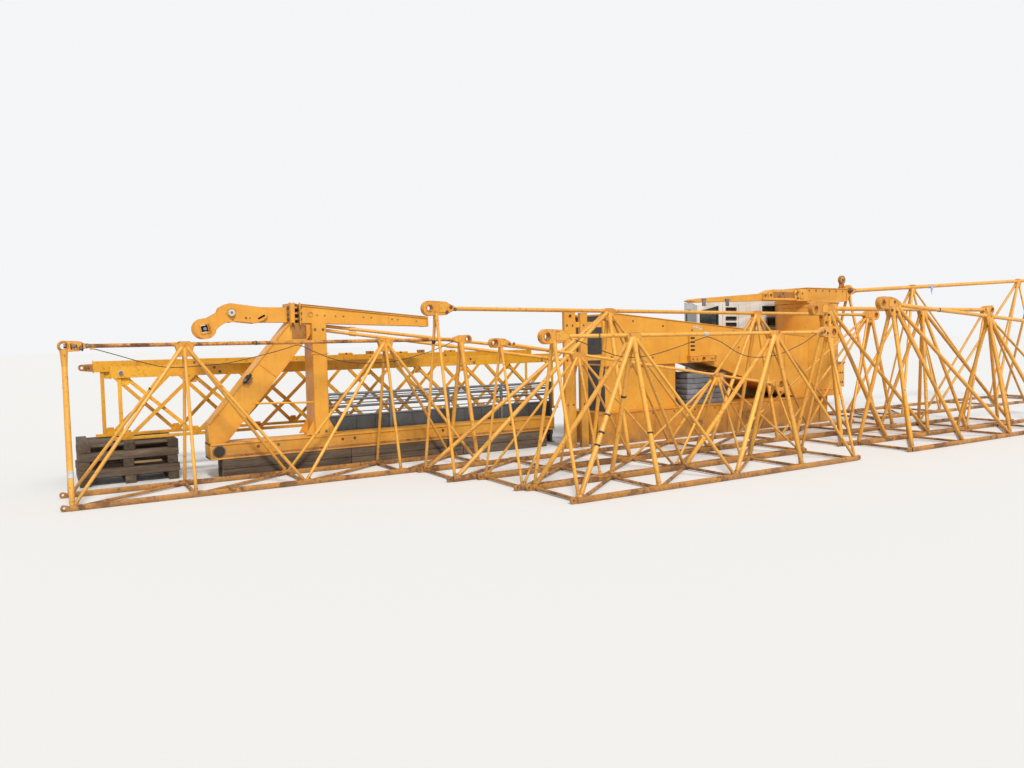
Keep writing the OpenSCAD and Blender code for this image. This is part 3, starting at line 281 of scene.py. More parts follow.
# Bare rusted steel, for bolts and pins
def rustSteelOf(name, share):
    material, tree, shader, vector = newMaterial(name)
    rust = place(tree, patches, Vector=vector, Scale=12.0, Amount=share, Softness=0.2)
    steel = (0.30, 0.28, 0.26, 1)
    tree.links.new(blendColour(tree, rust, steel, place(tree, rustTone, Vector=vector)),
                   shader.inputs["Base Color"])
    tree.links.new(remap(tree, rust, 0.0, 1.0, 0.8, 0.0), shader.inputs["Metallic"])
    tree.links.new(remap(tree, rust, 0.0, 1.0, 0.4, 0.9), shader.inputs["Roughness"])
    setBump(tree, shader, calc(tree, "MULTIPLY", rust, noise(tree, vector, 80.0, 5.0)), 0.5, 0.002)
    return material


# One colour broken by noise, for timber, concrete, rubber and cloth
def mottledOf(name, light, dark, scale, rough, grain=(1, 1, 1), bump=0.4, spread=0.0):
    material, tree, shader, vector = newMaterial(name)
    along = stretched(tree, vector, grain)
    cloud = noise(tree, along, scale, 8.0, 0.68)
    fine = noise(tree, along, scale * 7.0, 5.0, 0.7)
    mixed = remap(tree,
                  calc(tree, "ADD", calc(tree, "MULTIPLY", cloud, 0.6), calc(tree, "MULTIPLY", fine, 0.4)),
                  0.36, 0.64)
    colour = blendColour(tree, mixed, dark, light)
    if spread > 0:
        colour = varied(tree, colour, 1 - spread, 1 + spread)
    tree.links.new(colour, shader.inputs["Base Color"])
    shader.inputs["Roughness"].default_value = rough
    setBump(tree, shader, mixed, bump, 0.004)
    return material


# Dusty window glass
def glassOf(name):
    material, tree, shader, vector = newMaterial(name)
    dust = place(tree, patches, Vector=vector, Scale=3.0, Amount=0.6, Softness=0.4)
    colour = blendColour(tree, calc(tree, "MULTIPLY", dust, 0.6), (0.016, 0.034, 0.038, 1),
                         (0.15, 0.18, 0.18, 1))
    tree.links.new(colour, shader.inputs["Base Color"])
    tree.links.new(remap(tree, dust, 0.0, 1.0, 0.06, 0.5), shader.inputs["Roughness"])
    tree.links.new(remap(tree, dust, 0.0, 1.0, 0.84, 0.95), shader.inputs["Alpha"])
    return material


# Two colours, scale, roughness and, where they differ, grain, bump and spread
mottles = {
    "timber": ((0.185, 0.130, 0.085, 1), (0.040, 0.028, 0.019, 1), 7.0, 0.9, (0.25, 3, 3), 0.8, 0.4),
    "timberAcross": ((0.155, 0.105, 0.066, 1), (0.034, 0.024, 0.016, 1), 7.0, 0.9, (3, 0.25, 3), 0.8, 0.4),
    "palePlank": ((0.42, 0.27, 0.12, 1), (0.20, 0.12, 0.055, 1), 7.0, 0.85, (0.25, 3, 3)),
    "concrete": ((0.245, 0.255, 0.28, 1), (0.100, 0.104, 0.118, 1), 4.0, 0.92, (1, 1, 1), 0.4, 0.2),
    "greasyCable": ((0.060, 0.036, 0.020, 1), (0.018, 0.014, 0.011, 1), 30.0, 0.5),
    "rubber": ((0.030, 0.030, 0.032, 1), (0.012, 0.012, 0.013, 1), 20.0, 0.6),
    # painted shade: the near-black fill set in holes, slots, gaps, a groove, a clamp's hollow and behind the
    # cab's windows
    "paintedShade": ((0.05, 0.035, 0.022, 1), (0.014, 0.010, 0.007, 1), 5.0, 0.9),
    "whiteTape": ((0.66, 0.66, 0.63, 1), (0.36, 0.34, 0.30, 1), 18.0, 0.6),
    "blueStrap": ((0.12, 0.17, 0.46, 1), (0.62, 0.63, 0.68, 1), 22.0, 0.75)}
for name, values in mottles.items():
    finishes[name] = mottledOf(name, *values)
for name, share in (("rustedSteel", 0.95), ("wornSteel", 0.35)):
    finishes[name] = rustSteelOf(name, share)
finishes["dustyGlass"] = glassOf("dustyGlass")
print("materials made:", len(finishes))


# A piece gathers shapes in one mesh, in yard metres, and then rides the body
class Piece:
    def __init__(self, name, slot, finish):
        self.name = name
        self.slot = slot
        self.used = []
        self.mesh = bmesh.new()
        self.finish(finish)

    def finish(self, name):
        if name not in self.used:
            self.used.append(name)
        self.index = self.used.index(name)
        return self

    def keep(self, points):
        for face in {f for p in points for f in p.link_faces}:
            face.material_index = self.index

    def tube(self, start, end, radius, sides=20, endRadius=None):
        start, end = Vector(start), Vector(end)
        turn = (end - start).to_track_quat("Z", "Y").to_matrix().to_4x4()
        spot = Matrix.Translation((start + end) / 2) @ turn
        made = bmesh.ops.create_cone(self.mesh, cap_ends=True, segments=sides, radius1=radius,
                                     radius2=radius if endRadius is None else endRadius,
                                     depth=(end - start).length, matrix=spot)
        self.keep(made["verts"])

    def block(self, low, high, bevel=0.0, turn=None):
        low, high = Vector(low), Vector(high)
        size = high - low
        spot = Matrix.Translation((low + high) / 2)
        if turn is not None:
            spot = spot @ turn
        made = bmesh.ops.create_cube(self.mesh, size=1.0, matrix=spot @ Matrix.Diagonal((*size, 1)))
        points = made["verts"]
        if bevel > 0:
            edges = list({e for p in points for e in p.link_edges})
            rounding = bmesh.ops.bevel(self.mesh, geom=edges, offset=bevel, segments=2, profile=0.5,
                                       affect="EDGES", clamp_overlap=True)
            points = list({p for f in rounding["faces"] for p in f.verts})
        self.keep(points)

    # A straight bar with any outline across its run
    def member(self, start, end, outline, up=(0, 0, 1)):
        start, end = Vector(start), Vector(end)
        along = (end - start).normalized()
        side = along.cross(Vector(up)).normalized()
        lift = side.cross(along)
        ends = [[self.mesh.verts.new(spot + side * a + lift * b) for a, b in outline] for spot in (start, end)]
        count = len(outline)
        for i in range(count):
            j = (i + 1) % count
            self.mesh.faces.new((ends[0][i], ends[0][j], ends[1][j], ends[1][i]))
        self.mesh.faces.new(ends[0][::-1])
        self.mesh.faces.new(ends[1])
        self.keep(ends[0] + ends[1])

    # A round cable along points in one X and Z plane
    def sweep(self, points, radius, sides=12):
        points = [Vector(p) for p in points]
        rings = []
        for i, spot in enumerate(points):
            along = (points[min(i + 1, len(points) - 1)] - points[max(i - 1, 0)]).normalized()
            if i in (0, len(points) - 1):
                along = Vector((1, 0, 0))
            side = Vector((0, 1, 0))
            lift = side.cross(along)
            rings.append([self.mesh.verts.new(spot + side * radius * math.cos(2 * math.pi * j / sides)
                                              + lift * radius * math.sin(2 * math.pi * j / sides))
                          for j in range(sides)])
        for a, b in zip(rings, rings[1:]):
            for j in range(sides):
                k = (j + 1) % sides
                self.mesh.faces.new((a[j], a[k], b[k], b[j])).material_index = self.index
        self.mesh.faces.new(rings[0]).material_index = self.index
        self.mesh.faces.new(rings[-1][::-1]).material_index = self.index

    # A flat plate: closed outlines in X and Z, the first outer and the others holes
    def plate(self, outlines, y, thickness, bevel=0.003):
        curve = bpy.data.curves.new("outline", "CURVE")
        curve.dimensions = "2D"
        curve.fill_mode = "BOTH"
        curve.extrude = thickness / 2 - bevel
        curve.bevel_depth = bevel
        curve.bevel_resolution = 1
        curve.offset = -bevel
        for outline in outlines:
            spline = curve.splines.new("POLY")
            spline.points.add(len(outline) - 1)
            spline.use_cyclic_u = True
            for point, (x, z) in zip(spline.points, outline):
                point.co = (x, z, 0, 1)
        holder = bpy.data.objects.new("outline", curve)
        shape = holder.to_mesh()
        shape.transform(Matrix.Translation((0, y, 0)) @ Matrix.Rotation(math.pi / 2, 4, "X"))
        first = len(self.mesh.verts)
        self.mesh.from_mesh(shape)
        self.mesh.verts.ensure_lookup_table()
        self.keep(self.mesh.verts[first:])
        holder.to_mesh_clear()
        bpy.data.objects.remove(holder)
        bpy.data.curves.remove(curve)

    # A thin ring, for seals, welds and collars
    def ring(self, centre, axis, radius, thick, around=24, section=6):
        turn = Vector(axis).to_track_quat("Z", "Y").to_matrix().to_4x4()
        spot = Matrix.Translation(Vector(centre)) @ turn
        rows = []
        for i in range(around):
            a = 2 * math.pi * i / around
            row = []
            for j in range(section):
                b = 2 * math.pi * j / section
                reach = radius + thick * math.cos(b)
                row.append(self.mesh.verts.new(spot @ Vector((reach * math.cos(a), reach * math.sin(a),
                                                              thick * math.sin(b)))))
            rows.append(row)
        for i in range(around):
            for j in range(section):
                face = self.mesh.faces.new((rows[i][j], rows[(i + 1) % around][j],
                                            rows[(i + 1) % around][(j + 1) % section],
                                            rows[i][(j + 1) % section]))
                face.material_index = self.index

    # A hexagon bolt head on a washer, its foot at a point and its axis outward
    def bolt(self, foot, axis, radius):
        foot, axis = Vector(foot), Vector(axis).normalized()
        self.tube(foot, foot + axis * radius * 0.22, radius * 1.5, 16)
        self.tube(foot, foot + axis * radius * 0.95, radius, 6)
        self.tube(foot, foot + axis * radius * 1.35, radius * 0.5, 10)

    def bolts(self, feet, axis, radius):
        for foot in feet:
            self.bolt(foot, axis, radius)

    def done(self, *replaced):
        bmesh.ops.recalc_face_normals(self.mesh, faces=self.mesh.faces)
        for face in self.mesh.faces:
            face.smooth = True
        for side in self.mesh.edges:
            if len(side.link_faces) == 2 and side.calc_face_angle(0.0) > 0.6:
                side.smooth = False
        data = bpy.data.meshes.new(self.name)
        self.mesh.transform(Matrix.Translation(corner))
        self.mesh.to_mesh(data)
        self.mesh.free()
        for name in self.used:
            data.materials.append(finishes[name])
        piece = bpy.data.objects.new(self.name, data)
        bpy.context.scene.collection.objects.link(piece)
        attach(piece, "root")
        if replaced:
            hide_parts(*replaced)
        return piece


def circle(x, z, radius, count=32, start=0.0, end=2 * math.pi):
    whole = abs(end - start - 2 * math.pi) < 1e-6
    steps = count if whole else count - 1
    return [(x + radius * math.cos(start + (end - start) * i / steps),
             z + radius * math.sin(start + (end - start) * i / steps)) for i in range(count)]


def rectangle(x0, z0, x1, z1):
    return [(x0, z0), (x1, z0), (x1, z1), (x0, z1)]


def strip(width, thick):
    return [(-width / 2, -thick / 2), (width / 2, -thick / 2), (width / 2, thick / 2), (-width / 2, thick / 2)]



alongX, toFront, toBack, upwards = (1, 0, 0), (0, -1, 0), (0, 1, 0), (0, 0, 1)

# The camera stands in front of the left end at eye height, as the photographer did
view = {"before": 6.6, "eyeHeight": 1.75, "turn": 31.0, "focalPixels": 768.0, "horizon": 341.0,
        "roll": 0.020, "imageWidth": 1024.0, "imageHeight": 768.0}
turn = math.radians(view["turn"])
pitch = math.atan((view["imageHeight"] / 2 - view["horizon"]) / view["focalPixels"])
roll = math.atan(view["roll"])
ahead = Vector((math.sin(turn), math.cos(turn), 0))
right = Vector((math.cos(turn), -math.sin(turn), 0))
up = Vector((0, 0, 1))
forward = ahead * math.cos(pitch) - up * math.sin(pitch)
upright = ahead * math.sin(pitch) + up * math.cos(pitch)
across = right * math.cos(roll) - upright * math.sin(roll)
upward = right * math.sin(roll) + upright * math.cos(roll)
cameraData = bpy.data.cameras.new("camera")
cameraData.sensor_width = 36.0
cameraData.lens = view["focalPixels"] / view["imageWidth"] * cameraData.sensor_width
cameraData.clip_end = 900.0
camera = bpy.data.objects.new("camera", cameraData)
bpy.context.scene.collection.objects.link(camera)
columns = Matrix((across, upward, -forward)).transposed().to_4x4()
camera.matrix_world = Matrix.Translation(corner + Vector((0, -view["before"], view["eyeHeight"]))) @ columns
bpy.context.scene.camera = camera
bpy.context.scene.view_settings.view_transform = "Standard"
print("camera placed")

# What all lattice sections share
lattice = {"foot": 0.06, "footReach": 0.05, "footEye": 0.036, "footPin": 0.014, "lugReach": 0.10, "pin": 0.036,
           "lugThick": 0.08, "neck": 3.6, "collar": 0.009, "bush": 0.003, "doubler": 0.008, "bevel": 0.004,
           "saddleLong": 0.23, "saddleDeep": 0.15, "saddleThick": 0.066, "saddleOver": 0.012, "heavy": 0.029,
           "light": 0.020, "tip": 0.016, "cross": 0.019, "weld": 0.006, "weldBack": 0.07, "gap": 0.012,
           "postGap": 0.07, "flareFrom": 0.05, "flareTo": 0.24, "flare": 1.45, "seat": 0.075,
           "seatProud": 0.007}
lugEnd = lattice["foot"] / 2 + lattice["footReach"] + lattice["footEye"]
heavy, light, tip, reach = [lattice[key] for key in ("heavy", "light", "tip", "lugReach")]


# Where a section stands: its ends, its row and half the distance between its bottom chords
def spanOf(name):
    low, high = boxOf(name + "_bottom_frame")
    half = (high.y - low.y - lattice["foot"]) / 2
    return low.x + lugEnd, high.x - lugEnd, (low.y + high.y) / 2, half


def longOf(name):
    x0, x1, row, half = spanOf(name)
    return x1 - x0


# Bars are (place at the top, place at the bottom, radius, saddle), in metres along the section
def twoBays(name, first, pitch, post, lean, upright, back):
    long, middle, second = longOf(name), first + pitch / 2, first + pitch
    return {"bars": [(0, 0, post, False), (first, 0, lean, True), (first, first, upright, False),
                     (first, middle, back, False), (second, middle, lean, True),
                     (second, second, upright, False),
                     (second, long, back, False), (long, long, post, False)],
            "stations": [0, first, middle, second, long]}


# A lug is (eye, reach beyond the end, leg of a head plate)
sections = {
    "jib_a": dict(twoBays("jib_a", 1.263, 2.582, heavy, light, light, light),
                  chord=0.024, start=1.79, end=1.79, lugs=((0.064, 0, 0), (0.064, reach, 0))),
    "jib_d": dict(twoBays("jib_d", 1.14, 2.47, light, heavy, heavy, light),
                  chord=0.024, start=1.79, end=1.79, lugs=((0.084, reach, 0), (0.084, reach, 0))),
    "jib_b": dict(twoBays("jib_b", 1.15, 2.493, tip, tip, tip, tip),
                  chord=0.019, start=1.73, end=1.01, lugs=((0.058, reach, 0), (0.058, reach, 0)))}
# section C has three long bays
long, first = longOf("jib_c"), 2.82
bay = (long - first) / 2
second = first + bay
middle, last = first + bay / 2, second + bay * 0.6
sections["jib_c"] = {
    "chord": 0.028, "start": 2.19, "end": 2.11, "lugs": ((0.098, reach, 0), (0.098, reach, 0)),
    "bars": [(0, 0, light, False), (first, 0, heavy, True), (first, first, heavy, False),
             (first, middle, light, False), (second, middle, heavy, True), (second, second, heavy, False),
             (second, last, light, False), (long - reach, second, light, True),
             (long - reach, last, light, False),
             (long, long, heavy, False)],
    "stations": [0, first / 2, first, middle, second, last, long]}
# sections F and H start with a head plate
long = longOf("jib_f")
feet = [long * share for share in (0, 0.205, 0.42, 0.63, 0.82, 1)]
head, peak = 3 * 0.098 - reach, long * 0.44
sections["jib_f"] = {
    "chord": 0.031, "start": 2.21, "end": 1.755, "lugs": ((0.098, reach, 0.19), (0.084, reach, 0)),
    "bars": [(head * 0.8, 0, heavy, False), (head, feet[1], heavy, False), (head * 1.2, feet[2], heavy, False),
             (peak, feet[2], heavy, True), (peak, feet[3], heavy, False), (peak, feet[4], light, False),
             (long - reach, feet[4], light, True), (long, long, heavy, False)],
    "stations": feet}
long = longOf("jib_h")
feet = [long * share for share in (0, 0.23, 0.46, 0.7, 1)]
head, peak = 3 * 0.112 - reach, long * 0.57
sections["jib_h"] = {
    "chord": 0.036, "start": 2.17, "end": 2.17, "lugs": ((0.112, reach, 0.34), (0.084, reach, 0)),
    "bars": [(head, 0, heavy, False), (head, feet[1], heavy, False), (head * 1.2, feet[2], heavy, False),
             (peak, feet[2], heavy, True), (peak, feet[3], heavy, False), (peak, long, heavy, False),
             (long - reach, feet[3], light, True), (long, long, heavy, False)],
    "stations": feet}
long = longOf("mast")
feet = [long * share for share in (0, 0.12, 0.3, 0.6, 0.9, 1)]
sections["mast"] = {
    "chord": 0.042, "start": 2.65525, "end": 3.06, "lugs": ((0.084, reach, 0), (0.084, reach, 0)),
    "bars": [(0, 0, heavy, False), (feet[2], feet[1], heavy, True), (feet[2], feet[2], light, False),
             (feet[2], feet[3], light, False), (feet[4], feet[3], heavy, True),
             (feet[4], feet[4], light, False),
             (long, long, heavy, False)],
    "stations": feet}


def chordPoint(name, along):
    look = sections[name]
    x0, x1, row, half = spanOf(name)
    return Vector((x0 + along, row, look["start"] + (look["end"] - look["start"]) * along / (x1 - x0)))


def barEnds(name, bar, hand):
    x0, x1, row, half = spanOf(name)
    return chordPoint(name, bar[0]), Vector((x0 + bar[1], row + hand * half, lattice["foot"] / 2))


# The loose cables under two top chords: (along the section, drop) of each route, from clip to clip
cable = {"radius": 0.005, "clipLong": 0.04, "clipDrop": 0.008, "steps": 2}
middles = {"jib_a": 10, "jib_d": 9}
routes = {
    "jib_a": [(0.300, 0), (0.345, -0.012), (0.590, -0.095), (0.851, -0.185), (1.094, -0.240), (1.404, -0.232),
              (1.770, -0.205), (2.152, -0.125), (2.470, -0.045), (2.570, -0.012), (2.630, 0), (2.690, -0.012),
              (2.827, -0.080), (3.059, -0.180), (3.333, -0.250), (3.631, -0.268), (3.909, -0.255),
              (4.096, -0.230), (4.380, -0.168), (4.617, -0.100), (4.780, -0.040), (4.845, -0.012), (4.890, 0)],
    "jib_d": [(0.285, 0), (0.330, -0.012), (0.550, -0.088), (0.854, -0.190), (1.132, -0.226), (1.435, -0.206),
              (1.803, -0.130), (2.086, -0.060), (2.290, -0.012), (2.355, 0), (2.420, -0.012), (2.605, -0.070),
              (2.805, -0.170), (2.982, -0.240), (3.227, -0.285), (3.618, -0.270), (3.920, -0.200),
              (4.205, -0.110), (4.360, -0.040), (4.420, -0.012), (4.465, 0)]}


def smoothRoute(route, steps):
    made = []
    for i in range(len(route) - 1):
        a, b, c, d = [route[max(0, min(len(route) - 1, n))] for n in range(i - 1, i + 3)]
        for k in range(steps):
            t = k / steps
            made.append(tuple((2 * q + (r - p) * t + (2 * p - 5 * q + 4 * r - s) * t * t
                               + (3 * q - p - 3 * r + s) * t ** 3) / 2 for p, q, r, s in zip(a, b, c, d)))
    return made + [route[-1]]


for name, route in routes.items():
    start = chordPoint(name, 0)
    run = start.z - sections[name]["chord"] - cable["clipDrop"] - cable["radius"]
    path = [Vector((start.x + x, start.y, run + z)) for x, z in smoothRoute(route, cable["steps"])]
    long = sum((b - a).length for a, b in zip(path, path[1:]))
    wire = Piece(name + "Cable", "greasy_cable", "greasyCable")
    wire.sweep(path, cable["radius"])
    piece = wire.done(name + "_cable")
    print(name, "cable", round(long, 3))


# The outline of a head plate or of a plain lug, eye at (x, z); it points along +X or -X
def lugOutlines(x, z, way, eye, leg, neckHeight):
    around = circle(x, z, eye, 40, math.pi / 2, math.pi * 1.5)
    if leg:
        rest = [(1.5 * eye, -0.95 * eye), (1.8 * eye, -leg), (4.3 * eye, -leg), (4.6 * eye, -0.9 * eye),
                (4.6 * eye, 0), (3.4 * eye, 0.65 * eye), (2.1 * eye, 0.95 * eye)]
    else:
        neck = lattice["neck"]
        rest = [(neck * 0.65 * eye, -0.88 * eye), (neck * eye, -neckHeight), (neck * eye, neckHeight),
                (neck * 0.65 * eye, 0.88 * eye)]
    outer = around + [(x + px, z + pz) for px, pz in rest]
    return [[(x + way * (px - x), pz) for px, pz in outer], circle(x, z, lattice["pin"], 28)]


# The top chord with its lugs, saddles and cable clips
def buildTopChord(name, look):
    x0, x1, row, half = spanOf(name)
    chord, weld, pin, bevel = look["chord"], lattice["weld"], lattice["pin"], lattice["bevel"]
    top = Piece(name + "TopChord", "yellow_paint", "latticePaint")
    ends = chordPoint(name, 0), chordPoint(name, x1 - x0)
    top.finish("wornPaint" if name == "jib_a" else "latticePaint").tube(*ends, chord, 28)
    for spot, way, (eye, away, leg) in zip(ends, (1, -1), look["lugs"]):
        x = spot.x - way * away
        top.finish("lugPaint")
        top.plate(lugOutlines(x, spot.z, way, eye, leg, chord * 0.9), row, lattice["lugThick"], bevel)
        # a collar and a bush round the pin hole, and a doubling plate
        left, right = sorted((x + way * eye * 1.35, x + way * eye * 2.5))
        for hand in (-1, 1):
            face = row + hand * lattice["lugThick"] / 2
            top.ring((x, face, spot.z), toBack, pin + lattice["collar"], weld, 28)
            top.finish("rustedSteel").ring((x, face - hand * 0.004, spot.z), toBack, pin + 0.001,
                                           lattice["bush"], 28)
            top.finish("latticePaint").block((left, face, spot.z - eye * 0.55),
                                             (right, face + hand * lattice["doubler"], spot.z + eye * 0.55))
        # the weld where the lug meets the chord
        top.ring((x + way * lattice["neck"] * eye, row, spot.z), alongX, chord + 0.003, weld)
    wide, deep = lattice["saddleLong"] / 2, lattice["saddleDeep"]
    for spot in [chordPoint(name, along) for along, foot, radius, saddle in look["bars"] if saddle]:
        over = spot.z + chord + lattice["saddleOver"]
        top.finish("lugPaint").plate([[(spot.x - wide, spot.z), (spot.x - wide * 0.5, over),
                                       (spot.x + wide * 0.5, over),
                                       (spot.x + wide, spot.z), (spot.x + wide * 0.6, spot.z - deep),
                                       (spot.x - wide * 0.6, spot.z - deep)]], row, lattice["saddleThick"],
                                     bevel)
        top.finish("latticePaint")
        for way in (-1, 1):
            top.ring((spot.x + way * wide * 0.97, row, spot.z), alongX, chord + 0.002, weld * 0.8)
    if name in routes:
        route, clip = routes[name], cable["clipLong"]
        for along, deep in ((route[0][0] - clip, 2.5 * cable["radius"]), (route[-1][0], 2.5 * cable["radius"]),
                            (route[middles[name]][0] - clip / 2, 0)):
            spot = chordPoint(name, along)
            top.block((spot.x, row - chord * 0.6, spot.z - chord - cable["clipDrop"] - deep),
                      (spot.x + clip, row + chord * 0.6, spot.z), 0.002)
    top.done(name + "_top_chord")


# The two sloping sides: round bars with a weld at the foot, wider where a flattened end meets the top joint
def buildSides(name, look):
    for side, hand in (("near", -1), ("far", 1)):
        lean = Piece(name + side.capitalize() + "Side", "yellow_paint", "latticePaint")
        for bar in look["bars"]:
            p, q = barEnds(name, bar, hand)
            radius, along = bar[2], (q - p).normalized()
            gap = lattice["postGap"] if name == "jib_a" and bar[0] == 0 else lattice["gap"]
            lean.tube(p + along * gap, q, radius)
            lean.tube(p + along * lattice["flareFrom"], p + along * lattice["flareTo"],
                      radius * lattice["flare"],
                      endRadius=radius * 1.02)
            lean.ring(q - along * lattice["weldBack"], along, radius, lattice["weld"])
        lean.done(f"{name}_{side}_side")


# The bottom: two square tubes with lugs, cross bars, diagonals and seat plates
def buildBottom(name, look):
    x0, x1, row, half = spanOf(name)
    foot, eye, away = lattice["foot"], lattice["footEye"], lattice["footReach"]
    base = Piece(name + "BottomFrame", "rusty_paint", "rustyPaint")
    for hand in (-1, 1):
        y = row + hand * half
        base.block((x0 - foot / 2, y - foot / 2, 0), (x1 + foot / 2, y + foot / 2, foot), 0.007)
        for x, way in ((x0 - foot / 2 - away, 1), (x1 + foot / 2 + away, -1)):
            around = circle(x, eye, eye, 24, math.pi / 2, math.pi * 1.5)
            outer = around + [(x + away, 0), (x + away, eye + foot / 4)]
            base.plate([[(x + way * (px - x), pz) for px, pz in outer], circle(x, eye, lattice["footPin"], 20)],
                       y, foot / 2, 0.002)
        # seat plates lie on the tube and over its inner face
        front, back = sorted((y - hand * (foot / 2 + 0.006), y + hand * (foot / 2 - 0.001)))
        for along in look["stations"]:
            wide = lattice["seat"] if 0 < along < x1 - x0 else foot / 2
            base.block((x0 + along - wide, front, 0.002),
                       (x0 + along + wide, back, foot + lattice["seatProud"]), 0.003)
    stations = look["stations"]
    for i, along in enumerate(stations):
        for start in (along, stations[i - 1]) if i else (along,):
            base.tube((x0 + start, row - half, foot / 2), (x0 + along, row + half, foot / 2), lattice["cross"],
                      14)
    base.done(name + "_bottom_frame")


for name, look in sections.items():
    buildTopChord(name, look)
    buildSides(name, look)
    buildBottom(name, look)
print("lattice sections built:", len(sections))

# Ties, tape and paint marks on the bars: (section, bar, hand, share of its length, finish, how long)
barMarks = [("jib_c", 0, 1, 0.20, "rubber", 0.05), ("jib_d", 1, -1, 0.51, "rubber", 0.018),
            ("jib_d", 1, -1, 0.615, "rubber", 0.024), ("jib_d", 1, -1, 0.69, "rubber", 0.022),
            ("jib_d", 2, -1, 0.645, "rubber", 0.018), ("jib_d", 2, 1, 0.42, "rubber", 0.025),
            ("jib_a", 0, -1, 0.80, "whiteTape", 0.08), ("jib_a", 1, 1, 0.3, "rubber", 0.02)]
# the same on the top chords: (section, along it, finish, how long)
chordMarks = [("jib_d", 2.29, "whiteTape", 0.07), ("mast", 2.90, "blueStrap", 0.10),
              ("jib_d", 0.62, "rustedSteel", 0.02), ("jib_a", 2.1, "rubber", 0.015),
              ("jib_b", 1.18, "rubber", 0.05), ("jib_f", 1.4, "rubber", 0.02)]
mark = {"proud": 0.0035, "chordProud": 0.004, "strapStep": 0.03, "strapDrops": (0.13, 0.19, 0.09)}
ties = Piece("barTies", "yellow_paint", "rubber")
for name, index, hand, share, finish, size in barMarks:
    bar = sections[name]["bars"][index]
    p, q = barEnds(name, bar, hand)
    spot, along = p + (q - p) * share, (q - p).normalized()
    ties.finish(finish).tube(spot - along * size / 2, spot + along * size / 2, bar[2] + mark["proud"], 18)
    if finish == "rubber":  # the cut end of a tie
        ties.block(spot + Vector((0.01, -bar[2] - 0.012, -0.006)),
                   spot + Vector((0.022, -bar[2] + 0.004, 0.006)))
for name, along, finish, size in chordMarks:
    spot = chordPoint(name, along)
    ties.finish(finish)
    ties.tube(spot, chordPoint(name, along + size), sections[name]["chord"] + mark["chordProud"], 28)
    if finish == "blueStrap":
        for i, drop in enumerate(mark["strapDrops"]):
            left = 0.02 + i * mark["strapStep"]
            ties.block(spot + Vector((left, -0.05, -drop)), spot + Vector((left + 0.025, -0.045, 0)))
ties.done()

# Bolts on the lugs in the photograph's places: radius, then (along the section, above the chord's line)
lugBoltPlaces = {"jib_a": (0.017, (0.10, 0.0), (0.17, -0.02), (0.235, 0.004)),
                 "jib_c": (0.016, (0.14, -0.05), (0.20, 0.02), (0.26, -0.012)),
                 "jib_d": (0.015, (4.60, 0.01), (4.66, -0.02), (4.54, -0.012)),
                 "jib_b": (0.012, (0.10, 0.0), (0.16, 0.012)),
                 "jib_f": (0.015, (0.10, -0.10), (0.22, -0.12), (0.16, 0.03)),
                 "jib_h": (0.016, (0.14, -0.22), (0.26, -0.22), (0.20, -0.10))}
lugBolts = Piece("lugBolts", "yellow_paint", "rustedSteel")
for name, (radius, *spots) in lugBoltPlaces.items():
    for along, rise in spots:
        for hand in (-1, 1):
            face = Vector((0, hand * (lattice["lugThick"] / 2 + 0.007), rise))
            lugBolts.bolt(chordPoint(name, along) + face, (0, hand, 0), radius)
# turns of tape behind the first lug of A
spot = chordPoint("jib_a", 0.06)
lugBolts.finish("rubber")
for i in range(3):
    lugBolts.ring(spot + Vector((0.02 + 0.05 * i, 0, -0.005)), (1, 0.15 * (i - 1), 0.1), 0.050, 0.006, 20)
lugBolts.done()
print("marks and lug bolts added")

# Timber stacks: five layers, crossed, with boards let in on top; four beams lie under the head frame
timber = {"layers": 5, "wide": 1.25, "long": 1.2, "side": 0.1512, "bevel": 0.008, "slip": 0.012, "boards": 7,
          "board": 0.13, "boardStep": 0.16, "beam": 0.15, "beamCuts": (0.15, 1.9, 3.7)}
low, high = boxOf("timber_bearers")
layer = high.z / timber["layers"]
stacks = Piece("timberStacks", "old_timber", "timber")


# Each beam lies a little off its place
def slipped(low, high):
    slip = timber["slip"]
    move = Vector((random.uniform(-slip, slip), random.uniform(-slip, 0.0), 0))
    turn = Matrix.Rotation(math.radians(random.uniform(-0.5, 0.5)), 4, "Z")
    low, high = Vector(low) + Vector((slip, slip, 0.0)), Vector(high) - Vector((slip, slip, 0.003))
    stacks.block(low + move, high + move, timber["bevel"], turn)


front = high.y - timber["wide"]
for left in (low.x, high.x - timber["long"]):
    for k in range(timber["layers"]):
        z = k * layer
        for j in range(3):
            if k % 2:
                stacks.finish("timber")
                y = front + j * (timber["wide"] - timber["side"]) / 2
                slipped((left, y, z), (left + timber["long"], y + timber["side"], z + layer))
            else:
                stacks.finish("timberAcross")
                x = left + j * (timber["long"] - timber["side"]) / 2
                slipped((x, front, z), (x + timber["side"], front + timber["wide"], z + layer))
    # boards between the beams of the top layer, and a pale one lower down
    stacks.finish("timber")
    for j in range(timber["boards"]):
        y = front + 0.05 + j * timber["boardStep"]
        slipped((left + 0.02, y, high.z - 0.045),
                (left + timber["long"] - 0.02, y + timber["board"], high.z - 0.012))
    stacks.finish("palePlank")
    stacks.block((left + 0.55, front + 0.03, 2 * layer + 0.035), (left + 0.98, front + 0.10, 2 * layer + 0.062),
                 0.004)
beamLow, beamHigh = boxOf("head_base_beam")
stacks.finish("timber")
cuts = [beamLow.x + cut for cut in timber["beamCuts"]] + [beamHigh.x - timber["beamCuts"][0]]
for y in (beamLow.y, beamHigh.y - timber["beam"]):
    for a, b in zip(cuts, cuts[1:]):
        for z in (0.0, beamLow.z / 2):
            stacks.block((a + 0.004, y + 0.006, z + 0.001),
                         (b - 0.004, y + timber["beam"] - 0.006, z + beamLow.z / 2 - 0.003), timber["bevel"])
stacks.done("timber_bearers")
print("timber stacks built")

